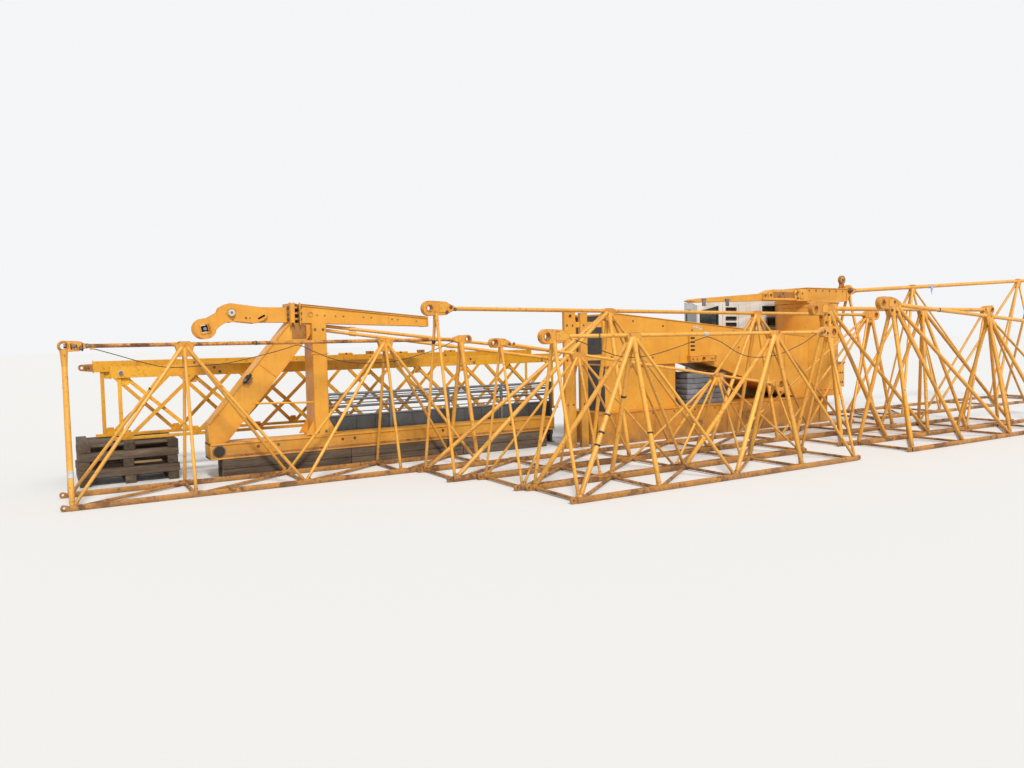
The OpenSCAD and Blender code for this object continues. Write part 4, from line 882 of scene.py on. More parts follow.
# Guard rail panels: three rails, posts with feet, thin wires between, a toe board with ribs
rail = {"radius": 0.02, "heights": (0.8, 0.9), "wires": (0.72, 0.845, 0.94), "wire": 0.42, "posts": 5,
        "ribs": 13, "board": (0.33, 0.67), "boardThick": 0.008, "lowRail": 0.14}
low, high = boxOf("guard_rails")
row, tall, radius = (low.y + high.y) / 2, high.z, rail["radius"]
rails = Piece("guardRailPanels", "galvanised", "galvanised")
railHeights = [tall * share for share in rail["heights"]] + [tall - radius]
for z in railHeights:
    rails.tube((low.x, row, z), (high.x, row, z), radius, 18)
posts = [low.x + radius + i * (high.x - low.x - 2 * radius) / (rail["posts"] - 1) for i in range(rail["posts"])]
for x in posts:
    rails.block((x - radius, low.y, 0), (x + radius, high.y, tall), 0.004)
    rails.block((x - 0.05, row - 0.045, 0.0), (x + 0.05, row + 0.045, 0.01), 0.002)
    for z in railHeights:
        rails.ring((x, row, z), alongX, radius + 0.002, 0.004, 18)
for z in [tall * share for share in rail["wires"]]:
    rails.tube((low.x + 0.01, row - 0.008, z), (high.x - 0.01, row - 0.008, z), radius * rail["wire"], 10)
boardLow, boardHigh = [tall * share for share in rail["board"]]
rails.finish("slatePaint")
for a, b in zip(posts, posts[1:]):
    rails.block((a + radius, row - rail["boardThick"] / 2, boardLow),
                (b - radius, row + rail["boardThick"] / 2, boardHigh), 0.002)
for i in range(rail["ribs"]):
    x = low.x + (i + 0.5) * (high.x - low.x) / rail["ribs"]
    rails.block((x - 0.012, row - 0.018, boardLow), (x + 0.012, row + 0.018, boardHigh), 0.002)
rails.finish("galvanised")
for z in (boardLow, boardHigh):
    rails.block((low.x, row - 0.016, z - 0.012), (high.x, row + 0.016, z + 0.012), 0.003)
z = tall * rail["lowRail"]
rails.tube((low.x, row, z), (high.x, row, z), radius * 0.8, 16)
rails.done("guard_rails")
print("guard rails built")

# Counter jib: the channels stay; angle irons replace the plain bracing, with gussets
counter = {"bays": 8, "lead": 0.17, "nearDrop": 0.07, "girder": 0.15, "wide": 0.09, "angle": 0.048,
           "thick": 0.007, "crossing": 0.024, "endShift": 0.072, "gusset": 0.13, "gussetThick": 0.010,
           "ribs": 9, "pairs": 5,
           "pairStep": 1.35, "boltRadius": 0.013,
           # brackets along the top of the rear girder: (left end, length, height, finish)
           "brackets": ((3.68, 0.10, 0.045, "brownPaint"), (3.98, 0.22, 0.03, "brightPaint"),
                        (4.44, 0.12, 0.05, "brownPaint"), (4.9, 0.26, 0.028, "brightPaint"),
                        (5.35, 0.12, 0.05, "brownPaint"), (5.86, 0.2, 0.035, "brightPaint"),
                        (6.5, 0.12, 0.045, "brownPaint"))}
low, high = boxOf("counter_jib_girders")
wide, deep, shift, cross = counter["wide"], counter["girder"], counter["endShift"], counter["crossing"]
trusses = [(low.x + counter["lead"], low.y + wide / 2, high.z - counter["nearDrop"]),
           (low.x, high.y - wide / 2, high.z)]
bayLong = (high.x - low.x - counter["lead"] - 4 * wide) / counter["bays"]
half, inside = counter["angle"] / 2, counter["angle"] / 2 - counter["thick"]
iron = [(-half, -half), (half, -half), (half, -inside), (-inside, -inside), (-inside, half), (-half, half)]
bracing = Piece("counterJibBracing", "yellow_paint", "brightPaint")
for x0, y, top in trusses:
    start, bottom, roof = x0 + 2 * wide, low.z + 0.018, top - deep + 0.009
    for x in (start - shift, start + counter["bays"] * bayLong + shift):
        bracing.member((x, y, bottom), (x, y, roof), iron, toBack)
    for i in range(counter["bays"]):
        x = start + i * bayLong
        bracing.member((x, y - cross, bottom), (x + bayLong, y - cross, roof), iron, toBack)
        bracing.member((x, y + cross, roof), (x + bayLong, y + cross, bottom), iron, toBack)
    for i in range(counter["bays"] + 1):
        x, size = start + i * bayLong, counter["gusset"]
        for z, way in ((bottom, 1), (roof, -1)):
            outline = [(x - size / 2, z), (x + size / 2, z), (x + size * 0.3, z + way * size * 0.8),
                       (x - size * 0.3, z + way * size * 0.8)]
            bracing.plate([outline[::way]], y, counter["gussetThick"], 0.001)
bracing.done("counter_jib_bracing")
# end plates, ribs and bolts of the channels
fittings = Piece("counterJibFittings", "yellow_paint", "brightPaint")
for x0, y, top in trusses:
    x1, face = x0 + high.x - low.x - counter["lead"], y - wide / 2
    for x in (x0, x1 - 0.012):
        fittings.block((x, face - 0.002, top - deep - 0.012), (x + 0.012, y + 0.05, top + 0.012), 0.002)
    for i in range(counter["ribs"]):
        x = x0 + 0.35 + i * (x1 - x0 - 0.7) / (counter["ribs"] - 1)
        fittings.block((x, face + 0.02, top - deep + 0.018), (x + 0.010, y + 0.043, top - 0.018))
    fittings.finish("rustedSteel")
    for x in [x0 + 1.3 + i * counter["pairStep"] for i in range(counter["pairs"])]:
        fittings.bolts(((x, face - 0.001, top - 0.05), (x + 0.07, face - 0.001, top - 0.11)), toFront,
                       counter["boltRadius"])
    fittings.finish("brightPaint")
# the pin with its pale washer at the left end of the near girder
spot = Vector((0.80, trusses[0][1] - wide / 2, 1.43))
fittings.finish("whiteTape").ring(spot, toBack, 0.030, 0.007)
fittings.finish("rustedSteel").tube(spot, spot - Vector((0, 0.022, 0)), 0.026)
x0, y, top = trusses[1]
for x, size, tall, finish in counter["brackets"]:
    fittings.finish(finish).block((x, y - 0.035, top), (x + size, y + 0.035, top + tall), 0.006)
    fittings.finish("rustedSteel").bolt((x + size / 2, y - 0.035, top + tall * 0.55), toFront, 0.011)
# a rusty hitch stands out at the left of the rear girder
eye = Vector((x0 - 0.13, y, top - 0.085))
fittings.finish("brownPaint")
around = circle(eye.x, eye.z, 0.045, 20, math.pi / 2, math.pi * 1.5)
fittings.plate([around + [(x0, eye.z - 0.06), (x0, eye.z + 0.05)], circle(eye.x, eye.z, 0.017, 16)],
               y, 0.03, 0.003)
fittings.finish("rustedSteel").bolt((x0 - 0.05, y - 0.015, eye.z), toFront, 0.014)
fittings.tube((x0 - 0.09, y - 0.06, eye.z + 0.01), (x0 - 0.09, y + 0.06, eye.z + 0.01), 0.012, 12)
fittings.done()
print("counter jib dressed")

# Base beam of the head frame: a broad-flanged beam with stiffeners, end plates and bolts
baseBeam = {"flange": 0.022, "web": 0.188, "ribs": 7, "rib": 0.014, "end": 0.02, "boltRadius": 0.014,
            "bolts": (2.35, 2.62, 3.52, 3.7, 5.1, 6.3), "hole": (0.11, 0.105, 0.07)}
low, high = boxOf("head_base_beam")
rowHead, flange = (low.y + high.y) / 2, baseBeam["flange"]
webFront, webBack = rowHead - baseBeam["web"], rowHead + baseBeam["web"]
beam = Piece("headBaseBeam", "yellow_paint", "platePaint")
beam.block((low.x + 0.01, webFront, low.z + 0.01), (high.x - 0.01, webBack, high.z - 0.01))
for z in (low.z, high.z - flange):
    beam.block((low.x, low.y, z), (high.x, high.y, z + flange), 0.003)
for x in (low.x, high.x - baseBeam["end"]):
    beam.block((x, low.y + 0.004, low.z), (x + baseBeam["end"], high.y - 0.004, high.z), 0.003)
for i in range(1, baseBeam["ribs"]):
    x = low.x + i * (high.x - low.x) / baseBeam["ribs"]
    for y0, y1 in ((low.y + 0.006, webFront), (webBack, high.y - 0.006)):
        beam.block((x, y0, low.z + flange), (x + baseBeam["rib"], y1, high.z - flange))
# painted shade: a dark brown strip along the foot of the web, for the shadow above the lower flange
beam.finish("brownPaint")
beam.block((low.x + 0.02, webFront - 0.003, low.z + flange),
           (high.x - 0.02, webFront + 0.01, low.z + flange + 0.03))
beam.finish("rustedSteel")
beam.bolts([(x, webFront, high.z - 0.07) for x in baseBeam["bolts"]], toFront, baseBeam["boltRadius"])
across, rise, radius = baseBeam["hole"]
spot = Vector((low.x + across, low.y, low.z + rise))
beam.ring(spot + Vector((0, 0.012, 0)), toBack, radius + 0.006, 0.009, 28)
# painted shade: a near-black disc fills the hole inside its ring
beam.finish("paintedShade").tube(spot + Vector((0, 0.02, 0)), spot + Vector((0, 0.008, 0)), radius, 28)
beam.done("head_base_beam")

# Column: foot plate, gussets, welds, a seam and bolts on the CAD box
columnLook = {"plate": 0.018, "gusset": (0.13, 0.24, 0.014), "weld": 0.005, "seam": 1.62, "boltRadius": 0.013}
low, high = boxOf("head_column")
columnLow, columnHigh = low, high
column = Piece("headColumnFittings", "yellow_paint", "platePaint")
foot = low.z + columnLook["plate"]
column.block((low.x - 0.05, low.y + 0.006, low.z), (high.x + 0.05, high.y - 0.006, foot), 0.003)
long, tall, thick = columnLook["gusset"]
for x, way in ((high.x, 1), (low.x, -1)):
    for y in (low.y + 0.03, high.y - 0.03):
        column.plate([[(x, foot), (x + way * long, foot), (x, low.z + tall)][::way]], y, thick, 0.001)
for x in (low.x, high.x):
    column.tube((x, low.y, low.z), (x, low.y, high.z - 0.02), columnLook["weld"], 8)
column.block((low.x - 0.02, low.y - 0.008, columnLook["seam"]),
             (high.x + 0.02, low.y + 0.002, columnLook["seam"] + 0.02))
column.finish("rustedSteel")
for x in (low.x + 0.04, high.x - 0.04):
    column.bolts([(x, low.y - 0.001, z) for z in (low.z + 0.06, high.z - 0.09)], toFront,
                 columnLook["boltRadius"])
column.bolts([(x, low.y + 0.05, foot) for x in (low.x - 0.03, high.x + 0.03)], upwards, 0.014)
column.done()

# Strut: edge flanges proud of its web, a clamp on its edge drawn in painted shade for its hollow, and a rail to
# the column
strut = {"angle": math.radians(50.5), "deep": 0.32, "thick": 0.018, "wide": 0.27, "seams": (0.25, 0.6),
         "clamp": 2.25}
low, high = boxOf("head_strut")
plateX = boxOf("head_horns")[1].x - 0.134
armZ = boxOf("head_arm")[0].z + 0.06
slope, drop = math.tan(strut["angle"]), strut["deep"] / math.cos(strut["angle"])


def strutEdge(x, under=0.0):
    return Vector((x, rowHead, armZ + (x - plateX) * slope - under))


edges = Piece("headStrutFlanges", "yellow_paint", "platePaint")
lowerX = plateX + (low.z - armZ + drop) / slope
for start, end in ((strutEdge(low.x + 0.01), strutEdge(plateX - 0.01)),
                   (strutEdge(lowerX + 0.01, drop), strutEdge(high.x - 0.012, drop))):
    edges.member(start, end, strip(strut["wide"], strut["thick"]))
half = strut["wide"] / 2
edges.block((low.x - 0.004, rowHead - half, low.z), (low.x + 0.014, rowHead + half, low.z + 0.24), 0.003)
for share in strut["seams"]:
    spot = strutEdge(low.x + (plateX - low.x) * share)
    down = Vector((math.sin(strut["angle"]), 0, -math.cos(strut["angle"])))
    edges.member(spot, spot + down * strut["deep"], strip(0.012, 0.255), toBack)
# painted shade: the clamp's block and tube are near-black for the shade in its hollow
edges.finish("paintedShade")
spot = strutEdge(strut["clamp"])
edges.block(spot + Vector((-0.05, -0.155, -0.075)), spot + Vector((0.05, -0.13, 0.005)), 0.012,
            Matrix.Rotation(math.radians(-50), 4, "Y"))
edges.tube(spot + Vector((-0.05, -0.15, -0.09)), spot + Vector((0.05, -0.15, 0.03)), 0.018, 12)
edges.finish("rustedSteel")
edges.tube(spot + Vector((-0.01, -0.16, -0.10)), spot + Vector((0.06, -0.16, -0.02)), 0.014, 12)
edges.bolt(spot + Vector((-0.03, -0.155, -0.05)), toFront, 0.018)
edges.finish("brightPaint")
edges.tube((2.34, rowHead - 0.14, 0.98), (columnLow.x + 0.02, rowHead - 0.14, 0.95), 0.013, 14)
edges.done()

# Arm: stiffeners, bolts and nuts at the end plates, rust on the upper flange
arm = {"flange": 0.024, "left": 0.26, "right": 0.14, "fall": 0.06, "wide": 0.28, "ribs": (0.17, 0.36),
       "plug": 0.012,
       # bolt holes of the near face: (yard x, height)
       "holes": ((3.232, 2.164), (3.338, 2.157), (3.494, 2.150), (3.609, 2.146), (3.903, 2.133), (4.025, 2.127),
                 (4.347, 2.104), (4.437, 2.097), (4.734, 2.074)),
       "eye": (3.138, 2.171), "gap": 0.075, "nuts": (0.2, 0.5, 0.8), "nut": 0.026, "boltRadius": 0.02}
low, high = boxOf("head_arm")
armX, armEnd, half = low.x, high.x, arm["wide"] / 2
armFit = Piece("headArmFittings", "yellow_paint", "platePaint")


def armUnder(x):
    return armZ - (x - armX) * arm["fall"] / (armEnd - armX)


def armTop(x):
    share = (x - armX) / (armEnd - armX)
    return armUnder(x) + arm["left"] + (arm["right"] - arm["left"]) * share


for x in (armX + arm["ribs"][0], armX + arm["ribs"][1], armEnd - 0.05):
    armFit.block((x, rowHead + 0.02, armUnder(x) + 0.02), (x + 0.012, rowHead + half - 0.01, armTop(x) - 0.024))
armFit.block((armEnd - 0.004, rowHead - half - 0.004, armUnder(armEnd) - 0.006),
             (armEnd + 0.014, rowHead + half + 0.004, armTop(armEnd) + 0.008), 0.003)
armFit.finish("brownPaint")
a, b = armX + 0.02, armEnd - 0.02
armFit.member((a, rowHead, armTop(a) + 0.003), (b, rowHead, armTop(b) + 0.003),
              strip(arm["wide"] + 0.006, 0.006))
a, b = armX + 0.03, armEnd - 0.03
for y in (rowHead - half - 0.002, rowHead + half + 0.002):
    armFit.member((a, y, armTop(a) - 0.004), (b, y, armTop(b) - 0.004), strip(0.004, 0.010))
# the near side is closed by a plate just behind the flange edges
face, b = rowHead - half + 0.014, armEnd - 0.004
armFit.finish("platePaint")
armFit.plate([[(a, armUnder(a) + 0.022), (b, armUnder(b) + 0.022), (b, armTop(b) - 0.022),
               (a, armTop(a) - 0.022)]],
             face + 0.005, 0.010, 0.001)
armFit.finish("rustedSteel")
for x, z in arm["holes"]:
    armFit.tube((x, face + 0.002, z), (x, face - 0.0015, z), arm["plug"], 16)
armFit.finish("platePaint").ring((arm["eye"][0], face, arm["eye"][1]), toBack, 0.030, 0.006)
armFit.finish("rustedSteel")
gapLeft, armHigh = armX - arm["gap"], armZ + arm["left"]
for share in arm["nuts"]:
    for y in (rowHead - 0.12, rowHead + 0.12):
        z = armZ + share * arm["left"]
        for x in (gapLeft, armX - 0.022):
            armFit.tube((x, y, z), (x + 0.022, y, z), arm["nut"], 6)
        armFit.bolt((armX + arm["flange"], y, z), alongX, arm["boltRadius"])
        armFit.bolt((gapLeft - 0.058, y, z), (-1, 0, 0), arm["boltRadius"])
# rusty distance plates fill the gap between the two end plates
armFit.block((gapLeft + 0.001, rowHead - 0.05, armZ - 0.05), (armX - 0.001, rowHead + 0.16, armHigh + 0.01))
armFit.finish("brownPaint")
armFit.block((gapLeft - 0.02, rowHead - 0.135, armZ - 0.21), (armX + 0.10, rowHead - 0.115, armZ - 0.002),
             0.003)
# painted shade: a near-black block deep in the gap between the end plates
armFit.finish("paintedShade")
armFit.block((gapLeft + 0.004, rowHead - 0.10, armZ + 0.02), (armX - 0.004, rowHead - 0.045, armHigh - 0.03))
armFit.finish("platePaint")
for x in (gapLeft - 0.058, gapLeft - 0.010, armX - 0.004):
    armFit.block((x, rowHead - 0.205, armZ - 0.03), (x + 0.014, rowHead - 0.16, armHigh + 0.018), 0.003)
armFit.done()

# Horns: pin head and washers, the rim of the square hole, a pin inside, a few rusty marks
horn = {"hump": 0.126, "thick": 0.045, "gap": 0.17, "hole": 0.104, "rim": 0.016, "rimProud": 0.018, "tilt": -12,
        "slotTilt": -28, "head": 0.045, "pin": 0.022, "marks": ((2.267, 2.127, 0.014), (2.319, 2.127, 0.010),
                                                               (2.10, 2.10, 0.009))}
pinX, pinZ = plateX - 6 * horn["hump"], armZ + 1.1 * horn["hump"]
eyeX, eyeZ = pinX - 2.6 * horn["hump"], pinZ - 1.64 * horn["hump"]
slotX, slotZ = pinX + 3.1 * horn["hump"], pinZ - 0.46 * horn["hump"]
hornFit = Piece("hornFittings", "yellow_paint", "platePaint")
turn = Matrix.Rotation(math.radians(horn["tilt"]), 4, "Y")
half, rim = horn["hole"] / 2, horn["hole"] / 2 + horn["rim"]
for hand in (-1, 1):
    face, out = rowHead + hand * (horn["gap"] / 2 + horn["thick"]), Vector((0, hand, 0))
    spot = Vector((pinX, face, pinZ))
    hornFit.finish("platePaint").ring(spot, out, 0.058, 0.008, 32)
    hornFit.finish("whiteTape").tube(spot, spot + out * 0.049, horn["head"], 32)
    hornFit.finish("rustedSteel").tube(spot, spot + out * 0.052, 0.016, 12)
    hornFit.finish("platePaint")
    for x0, z0, x1, z1 in ((-rim, -rim, rim, -half), (-rim, half, rim, rim), (-rim, -half, -half, half),
                           (half, -half, rim, half)):
        spot = Vector((eyeX, face, eyeZ)) + turn @ Vector(((x0 + x1) / 2, 0, (z0 + z1) / 2))
        size = Vector((x1 - x0, horn["rimProud"], z1 - z0)) / 2
        hornFit.block(spot - size, spot + size, 0.003, turn)
    hornFit.finish("rustedSteel")
    for x, z, radius in horn["marks"]:
        hornFit.tube((x, face, z), (x, face + hand * 0.003, z), radius, 14)
# painted shade fills the square hole and the slot as near-black blocks, and the pin crosses the hole
hornFit.finish("paintedShade")
for x, z, wide, tall, beyond, tilt in ((eyeX, eyeZ, half - 0.012, half - 0.012, 0.0, horn["tilt"]),
                                       (slotX, slotZ, 0.05, 0.04, 0.01, horn["slotTilt"])):
    y = horn["gap"] / 2 + beyond
    hornFit.block((x - wide, rowHead - y, z - tall), (x + wide, rowHead + y, z + tall), 0.0,
                  Matrix.Rotation(math.radians(tilt), 4, "Y"))
y = horn["gap"] / 2 + 0.02
hornFit.finish("wornSteel").tube((eyeX, rowHead - y, eyeZ), (eyeX, rowHead + y, eyeZ), horn["pin"])
hornFit.done()
print("head frame dressed")

# Tie bars: round, with three sleeves each
tie = {"radius": 0.024, "rise": 1.555, "drop": 0.13, "sleeves": (0.12, 0.5, 0.93), "sleeve": 0.05}
postLow, postHigh = boxOf("girder_end_posts")
tieBars = Piece("tieBarRods", "yellow_paint", "latticePaint")
for k in (0, 1):
    a = Vector((columnHigh.x - tie["radius"], rowHead, armZ - (1.5 + 2.5 * k) * tie["radius"]))
    b = Vector((postLow.x + tie["radius"], postLow.y + 0.03, tie["rise"] - k * tie["drop"]))
    tieBars.tube(a, b, tie["radius"])
    half = (b - a).normalized() * tie["sleeve"]
    for spot in [a + (b - a) * share for share in tie["sleeves"]]:
        tieBars.tube(spot - half, spot + half, tie["radius"] + 0.007)
tieBars.done("tie_bars")

# Plate girder: edge strips, stiffener slots, shelf plate, bolts and painted shade in the open ends of its boxes
girder = {"thick": 0.014, "strip": 0.07, "left": 7.82, "flat": 8.13, "fall": 0.092, "knee": 10.1, "foot": 12.6,
          "right": 12.86, "under": 1.31, "rise": 0.308, "deep": 0.8, "stiffeners": (11.3, 12.25),
          "shelfLong": 0.65, "slots": (0.20, 0.27, 0.34, 0.41), "shelfBolts": (0.06, 0.16, 0.52, 0.60),
          "bolts": ((8.468, 2.046), (9.137, 1.957), (9.82, 1.881), (8.0, 1.45), (8.9, 1.42), (11.0, 1.55)),
          "scuff": ((9.83, 1.948), (9.95, 1.955), (10.06, 1.90), (10.05, 1.875), (9.95, 1.91), (9.86, 1.925))}
bedLow, bedHigh = boxOf("bed_box")
front, webX, webLow, knee = postLow.y, girder["left"], girder["under"], girder["knee"]
webTop = boxOf("plate_girder")[1].z
girderFit = Piece("girderFittings", "yellow_paint", "platePaint")


def girderTop(x):
    return webTop - max(0.0, x - girder["flat"]) * girder["fall"]


inset, outline = girder["strip"] / 2 - 0.012, strip(girder["strip"], girder["thick"])
upper, lower = girder["thick"] / 2, webLow - 0.006
for y in (front + inset, 2 * bedLow.y + 0.94 - front - inset):
    for a, b in (((webX, webTop + upper), (girder["flat"], webTop + upper)),
                 ((girder["flat"], webTop + upper), (girder["right"], girderTop(girder["right"]) + upper)),
                 ((webX, lower), (knee, lower)), ((knee, lower), (girder["foot"], bedHigh.z - 0.004))):
        girderFit.member((a[0], y, a[1]), (b[0], y, b[1]), outline)
girderFit.block((webX - 0.006, front - 0.010, webLow), (webX + 0.05, front + 0.002, webTop), 0.002)
for x in girder["stiffeners"]:
    under = max(webLow - max(0, x - knee) * girder["rise"], bedHigh.z)
    girderFit.block((x, front - 0.008, under + 0.03), (x + 0.02, front + 0.002, girderTop(x) - 0.02))
# the stiffener with its slots and the shelf with its eye
shelfX, shelfEnd = knee - 0.4, knee - 0.4 + girder["shelfLong"]
eyeX, eyeZ = shelfX + girder["shelfLong"] / 2, webLow + 0.055
girderFit.block((shelfX - 0.01, front - 0.086, webLow + 0.10), (shelfX + 0.19, front - 0.04, webLow + 0.125),
                0.004)
girderFit.finish("lugPaint")
girderFit.plate([rectangle(shelfX - 0.004, webLow + 0.004, shelfEnd + 0.004, webLow + 0.108),
                 circle(eyeX, eyeZ, 0.036, 24)], front - 0.081, 0.006, 0.001)
girderFit.block((shelfX - 0.006, front - 0.084, webLow + 0.104), (shelfEnd + 0.006, front, webLow + 0.116),
                0.002)
girderFit.finish("platePaint").ring((eyeX, front - 0.085, eyeZ), toBack, 0.042, 0.006)
# painted shade: near-black blocks in the slots of the stiffener
girderFit.finish("paintedShade")
for z in [webLow + rise for rise in girder["slots"]]:
    girderFit.block((shelfX + 0.045, front - 0.0415, z), (shelfX + 0.145, front - 0.03, z + 0.035))
girderFit.finish("rustedSteel")
girderFit.bolts([(x, front, z) for x, z in girder["bolts"]], toFront, 0.012)
girderFit.bolts([(shelfX + x, front - 0.084, eyeZ) for x in girder["shelfBolts"]], toFront, 0.011)
girderFit.finish("whiteTape").plate([girder["scuff"]], front - 0.0005, 0.002, 0.0005)
# painted shade: dark slate sheets line the open left end and the left side of the low box, where the inside
# lies in shade
girderFit.finish("slatePaint")
back = front + girder["deep"]
girderFit.block((webX + 0.02, front + 0.03, webLow + 0.03), (webX + 0.03, back - 0.03, webTop - 0.03))
girderFit.block((webX + 0.054, front + 0.032, bedHigh.z), (webX + 0.062, back - 0.032, webLow - 0.002))
girderFit.done()

# End posts: hole ring, head and foot plates, bolts
post = {"hole": (7.168, 2.131), "posts": ((0.0, 0.213, 0.0), (0.313, 0.453, 0.045)), "boltRadius": 0.012,
        "boltsX": (0.05, 0.16, 0.38), "boltsZ": (0.7, 1.42, 1.98)}
holeX, holeZ = post["hole"]
postFit = Piece("endPostFittings", "yellow_paint", "platePaint")
postFit.ring((holeX, front, holeZ), toBack, 0.028, 0.006)
for x0, x1, lower in post["posts"]:
    x0, x1, top = postLow.x + x0, postLow.x + x1, postHigh.z - lower
    postFit.block((x0 - 0.004, front - 0.004, top - 0.012), (x1 + 0.004, front + 0.064, top + 0.004), 0.002)
    postFit.block((x0 - 0.02, front - 0.02, 0.0), (x1 + 0.02, front + 0.08, 0.014), 0.003)
# painted shade: a near-black disc in the hole
postFit.finish("paintedShade").tube((holeX, front + 0.004, holeZ), (holeX, front - 0.001, holeZ), 0.024)
postFit.finish("rustedSteel")
postFit.bolts([(postLow.x + x, front, z) for x in post["boltsX"] for z in post["boltsZ"]], toFront,
              post["boltRadius"])
postFit.done()

# Bottom box: flange strips, ribs and bolts on both long faces
bedLook = {"flange": 0.024, "proud": 0.016, "ribs": 7, "ribStep": 0.87, "rib": 0.014, "ribProud": 0.013,
           "bolts": 12, "boltStep": 0.49, "boltRadius": 0.012}
low, high = bedLow, bedHigh
bed = Piece("bedFittings", "yellow_paint", "bedPaint")
for y, hand in ((low.y, -1), (high.y, 1)):
    a, b = sorted((y, y + hand * bedLook["proud"]))
    for z in (0.002, high.z - 0.026):
        bed.block((low.x, a, z), (high.x, b, z + bedLook["flange"]), 0.003)
    a, b = sorted((y, y + hand * bedLook["ribProud"]))
    for x in [low.x + 0.35 + i * bedLook["ribStep"] for i in range(bedLook["ribs"])]:
        bed.block((x, a, 0.026), (x + bedLook["rib"], b, high.z - 0.026))
    bed.finish("rustedSteel")
    bed.bolts([(low.x + 0.2 + i * bedLook["boltStep"], y, high.z - 0.07) for i in range(bedLook["bolts"])],
              (0, hand, 0), bedLook["boltRadius"])
    bed.finish("bedPaint")
bed.done()

# Ballast slabs: two cast layers in each, with chipped edges and lifting eyes
slab = {"count": 3, "long": 0.96, "shift": 0.012, "chip": 0.006, "bevel": 0.012, "eye": 0.032,
        "eyeThick": 0.007}
low, high = boxOf("ballast_slabs")
slabs = Piece("ballastSlabs", "weathered_concrete", "concrete")
layer = (high.z - low.z) / slab["count"] / 2


def chip():
    return random.uniform(0, slab["chip"])


for k in range(2 * slab["count"]):
    x, z = low.x + slab["shift"] * (k // 2), low.z + k * layer
    slabs.block((x + chip(), low.y + chip(), z + 0.002),
                (x + slab["long"] - chip(), high.y - chip(), z + layer - 0.004), slab["bevel"])
slabs.finish("rustedSteel")
for x in (low.x + 0.25, low.x + 0.75):
    for y in (low.y + 0.2, high.y - 0.2):
        slabs.ring((x, y, high.z - 0.006), alongX, slab["eye"], slab["eyeThick"], 18)
slabs.done("ballast_slabs")
print("girder and slabs dressed")

# Slewing column: smooth shell, ring with bolts, seams, head flange and the bracket on the right
shell = {"radius": 0.605, "ring": 0.68, "ringHigh": 0.11, "top": 2.43, "flange": 0.022,
         "seams": (-100, -62, 10, 150), "bolts": 40, "boltRow": 0.645, "boltRadius": 0.014, "bracketWide": 0.44,
         "bracketHigh": 0.5,
         "plate": 0.03}
low, high = boxOf("slewing_column")
midX, midY, foot, top = low.x + shell["ring"], (low.y + high.y) / 2, low.z + shell["ringHigh"], shell["top"]
drum = Piece("slewingColumn", "yellow_paint", "platePaint")
drum.tube((midX, midY, foot - 0.005), (midX, midY, top), shell["radius"], 112)
drum.tube((midX, midY, low.z), (midX, midY, foot), shell["ring"], 112)
for z, thick in ((top - 0.05, 0.012), (top - 0.13, 0.006), (foot + 0.012, 0.014)):
    drum.ring((midX, midY, z), upwards, shell["radius"], thick, 96)
drum.tube((midX, midY, top - 0.045), (midX, midY, top), shell["radius"] + shell["flange"], 112)
for angle in [math.radians(degrees) for degrees in shell["seams"]]:
    x, y = midX + shell["radius"] * math.cos(angle), midY + shell["radius"] * math.sin(angle)
    drum.tube((x, y, foot), (x, y, top - 0.05), 0.004, 6)
half, plate, bracketTop = shell["bracketWide"] / 2, shell["plate"], foot + shell["bracketHigh"]
for y in (midY - half, midY + half - plate):
    drum.block((midX + 0.3, y, foot), (high.x, y + plate, bracketTop), 0.003)
drum.finish("brownPaint")
drum.block((high.x - 0.04, midY - half + plate, foot), (high.x - 0.01, midY + half - plate, bracketTop - 0.08))
drum.block((midX + 0.3, midY - half - plate, bracketTop - 0.002),
           (high.x, midY + half + plate, bracketTop - 0.002 + plate), 0.004)
drum.finish("rustedSteel")
drum.bolts([(x, y, foot) for x, y in circle(midX, midY, shell["boltRow"], shell["bolts"])], upwards,
           shell["boltRadius"])
drum.bolts([(high.x - x, midY - half, foot + z) for x in (0.06, 0.14) for z in (0.1, 0.3)], toFront,
           shell["boltRadius"])
drum.done("slewing_column")

# Head box: flanges, stiffeners, bolts and the sheave with its groove
cap = {"left": 12.94, "long": 1.25, "wide": 0.78, "high": 0.265, "flange": 0.018, "rib": 0.014, "bolts": 6,
       "boltStep": 0.21, "boltRadius": 0.012, "sheave": 0.079, "groove": 0.062}
beamFront = boxOf("cab_beam")[0].y + 0.03
capLow = Vector((cap["left"], beamFront, top))
capHigh = Vector((capLow.x + cap["long"], capLow.y + cap["wide"], top + cap["high"]))
box = Piece("headBoxFittings", "yellow_paint", "platePaint")
for z in (capLow.z, capHigh.z - cap["flange"]):
    box.block((capLow.x - 0.006, capLow.y - 0.014, z),
              (capHigh.x + 0.006, capHigh.y + 0.014, z + cap["flange"]), 0.003)
for x in (capLow.x, capHigh.x - cap["rib"]):
    box.block((x, capLow.y - 0.010, capLow.z + cap["flange"]),
              (x + cap["rib"], capLow.y, capHigh.z - cap["flange"]))
box.finish("rustedSteel")
places = [capLow.x + 0.06 + i * cap["boltStep"] for i in range(cap["bolts"])]
box.bolts([(x, capLow.y - 0.002, capHigh.z - 0.06) for x in places], toFront, cap["boltRadius"])
fork = Vector((capHigh.x + 0.7 * 0.115, beamFront + 0.10, top + cap["high"] * 0.85))
for hand in (-1, 1):
    box.bolt(fork + Vector((0, hand * 0.135, 0)), (0, hand, 0), 0.034)
    box.ring(fork + Vector((0, hand * 0.103, 0)), toBack, 0.052, 0.008, 28)
wheel = Vector((capHigh.x - 0.084 * 0.4, fork.y, top + 0.264 + 0.084 * 2.2))
for y in (-0.024, 0.024):
    box.ring(wheel + Vector((0, y, 0)), toBack, cap["sheave"], 0.008, 32)
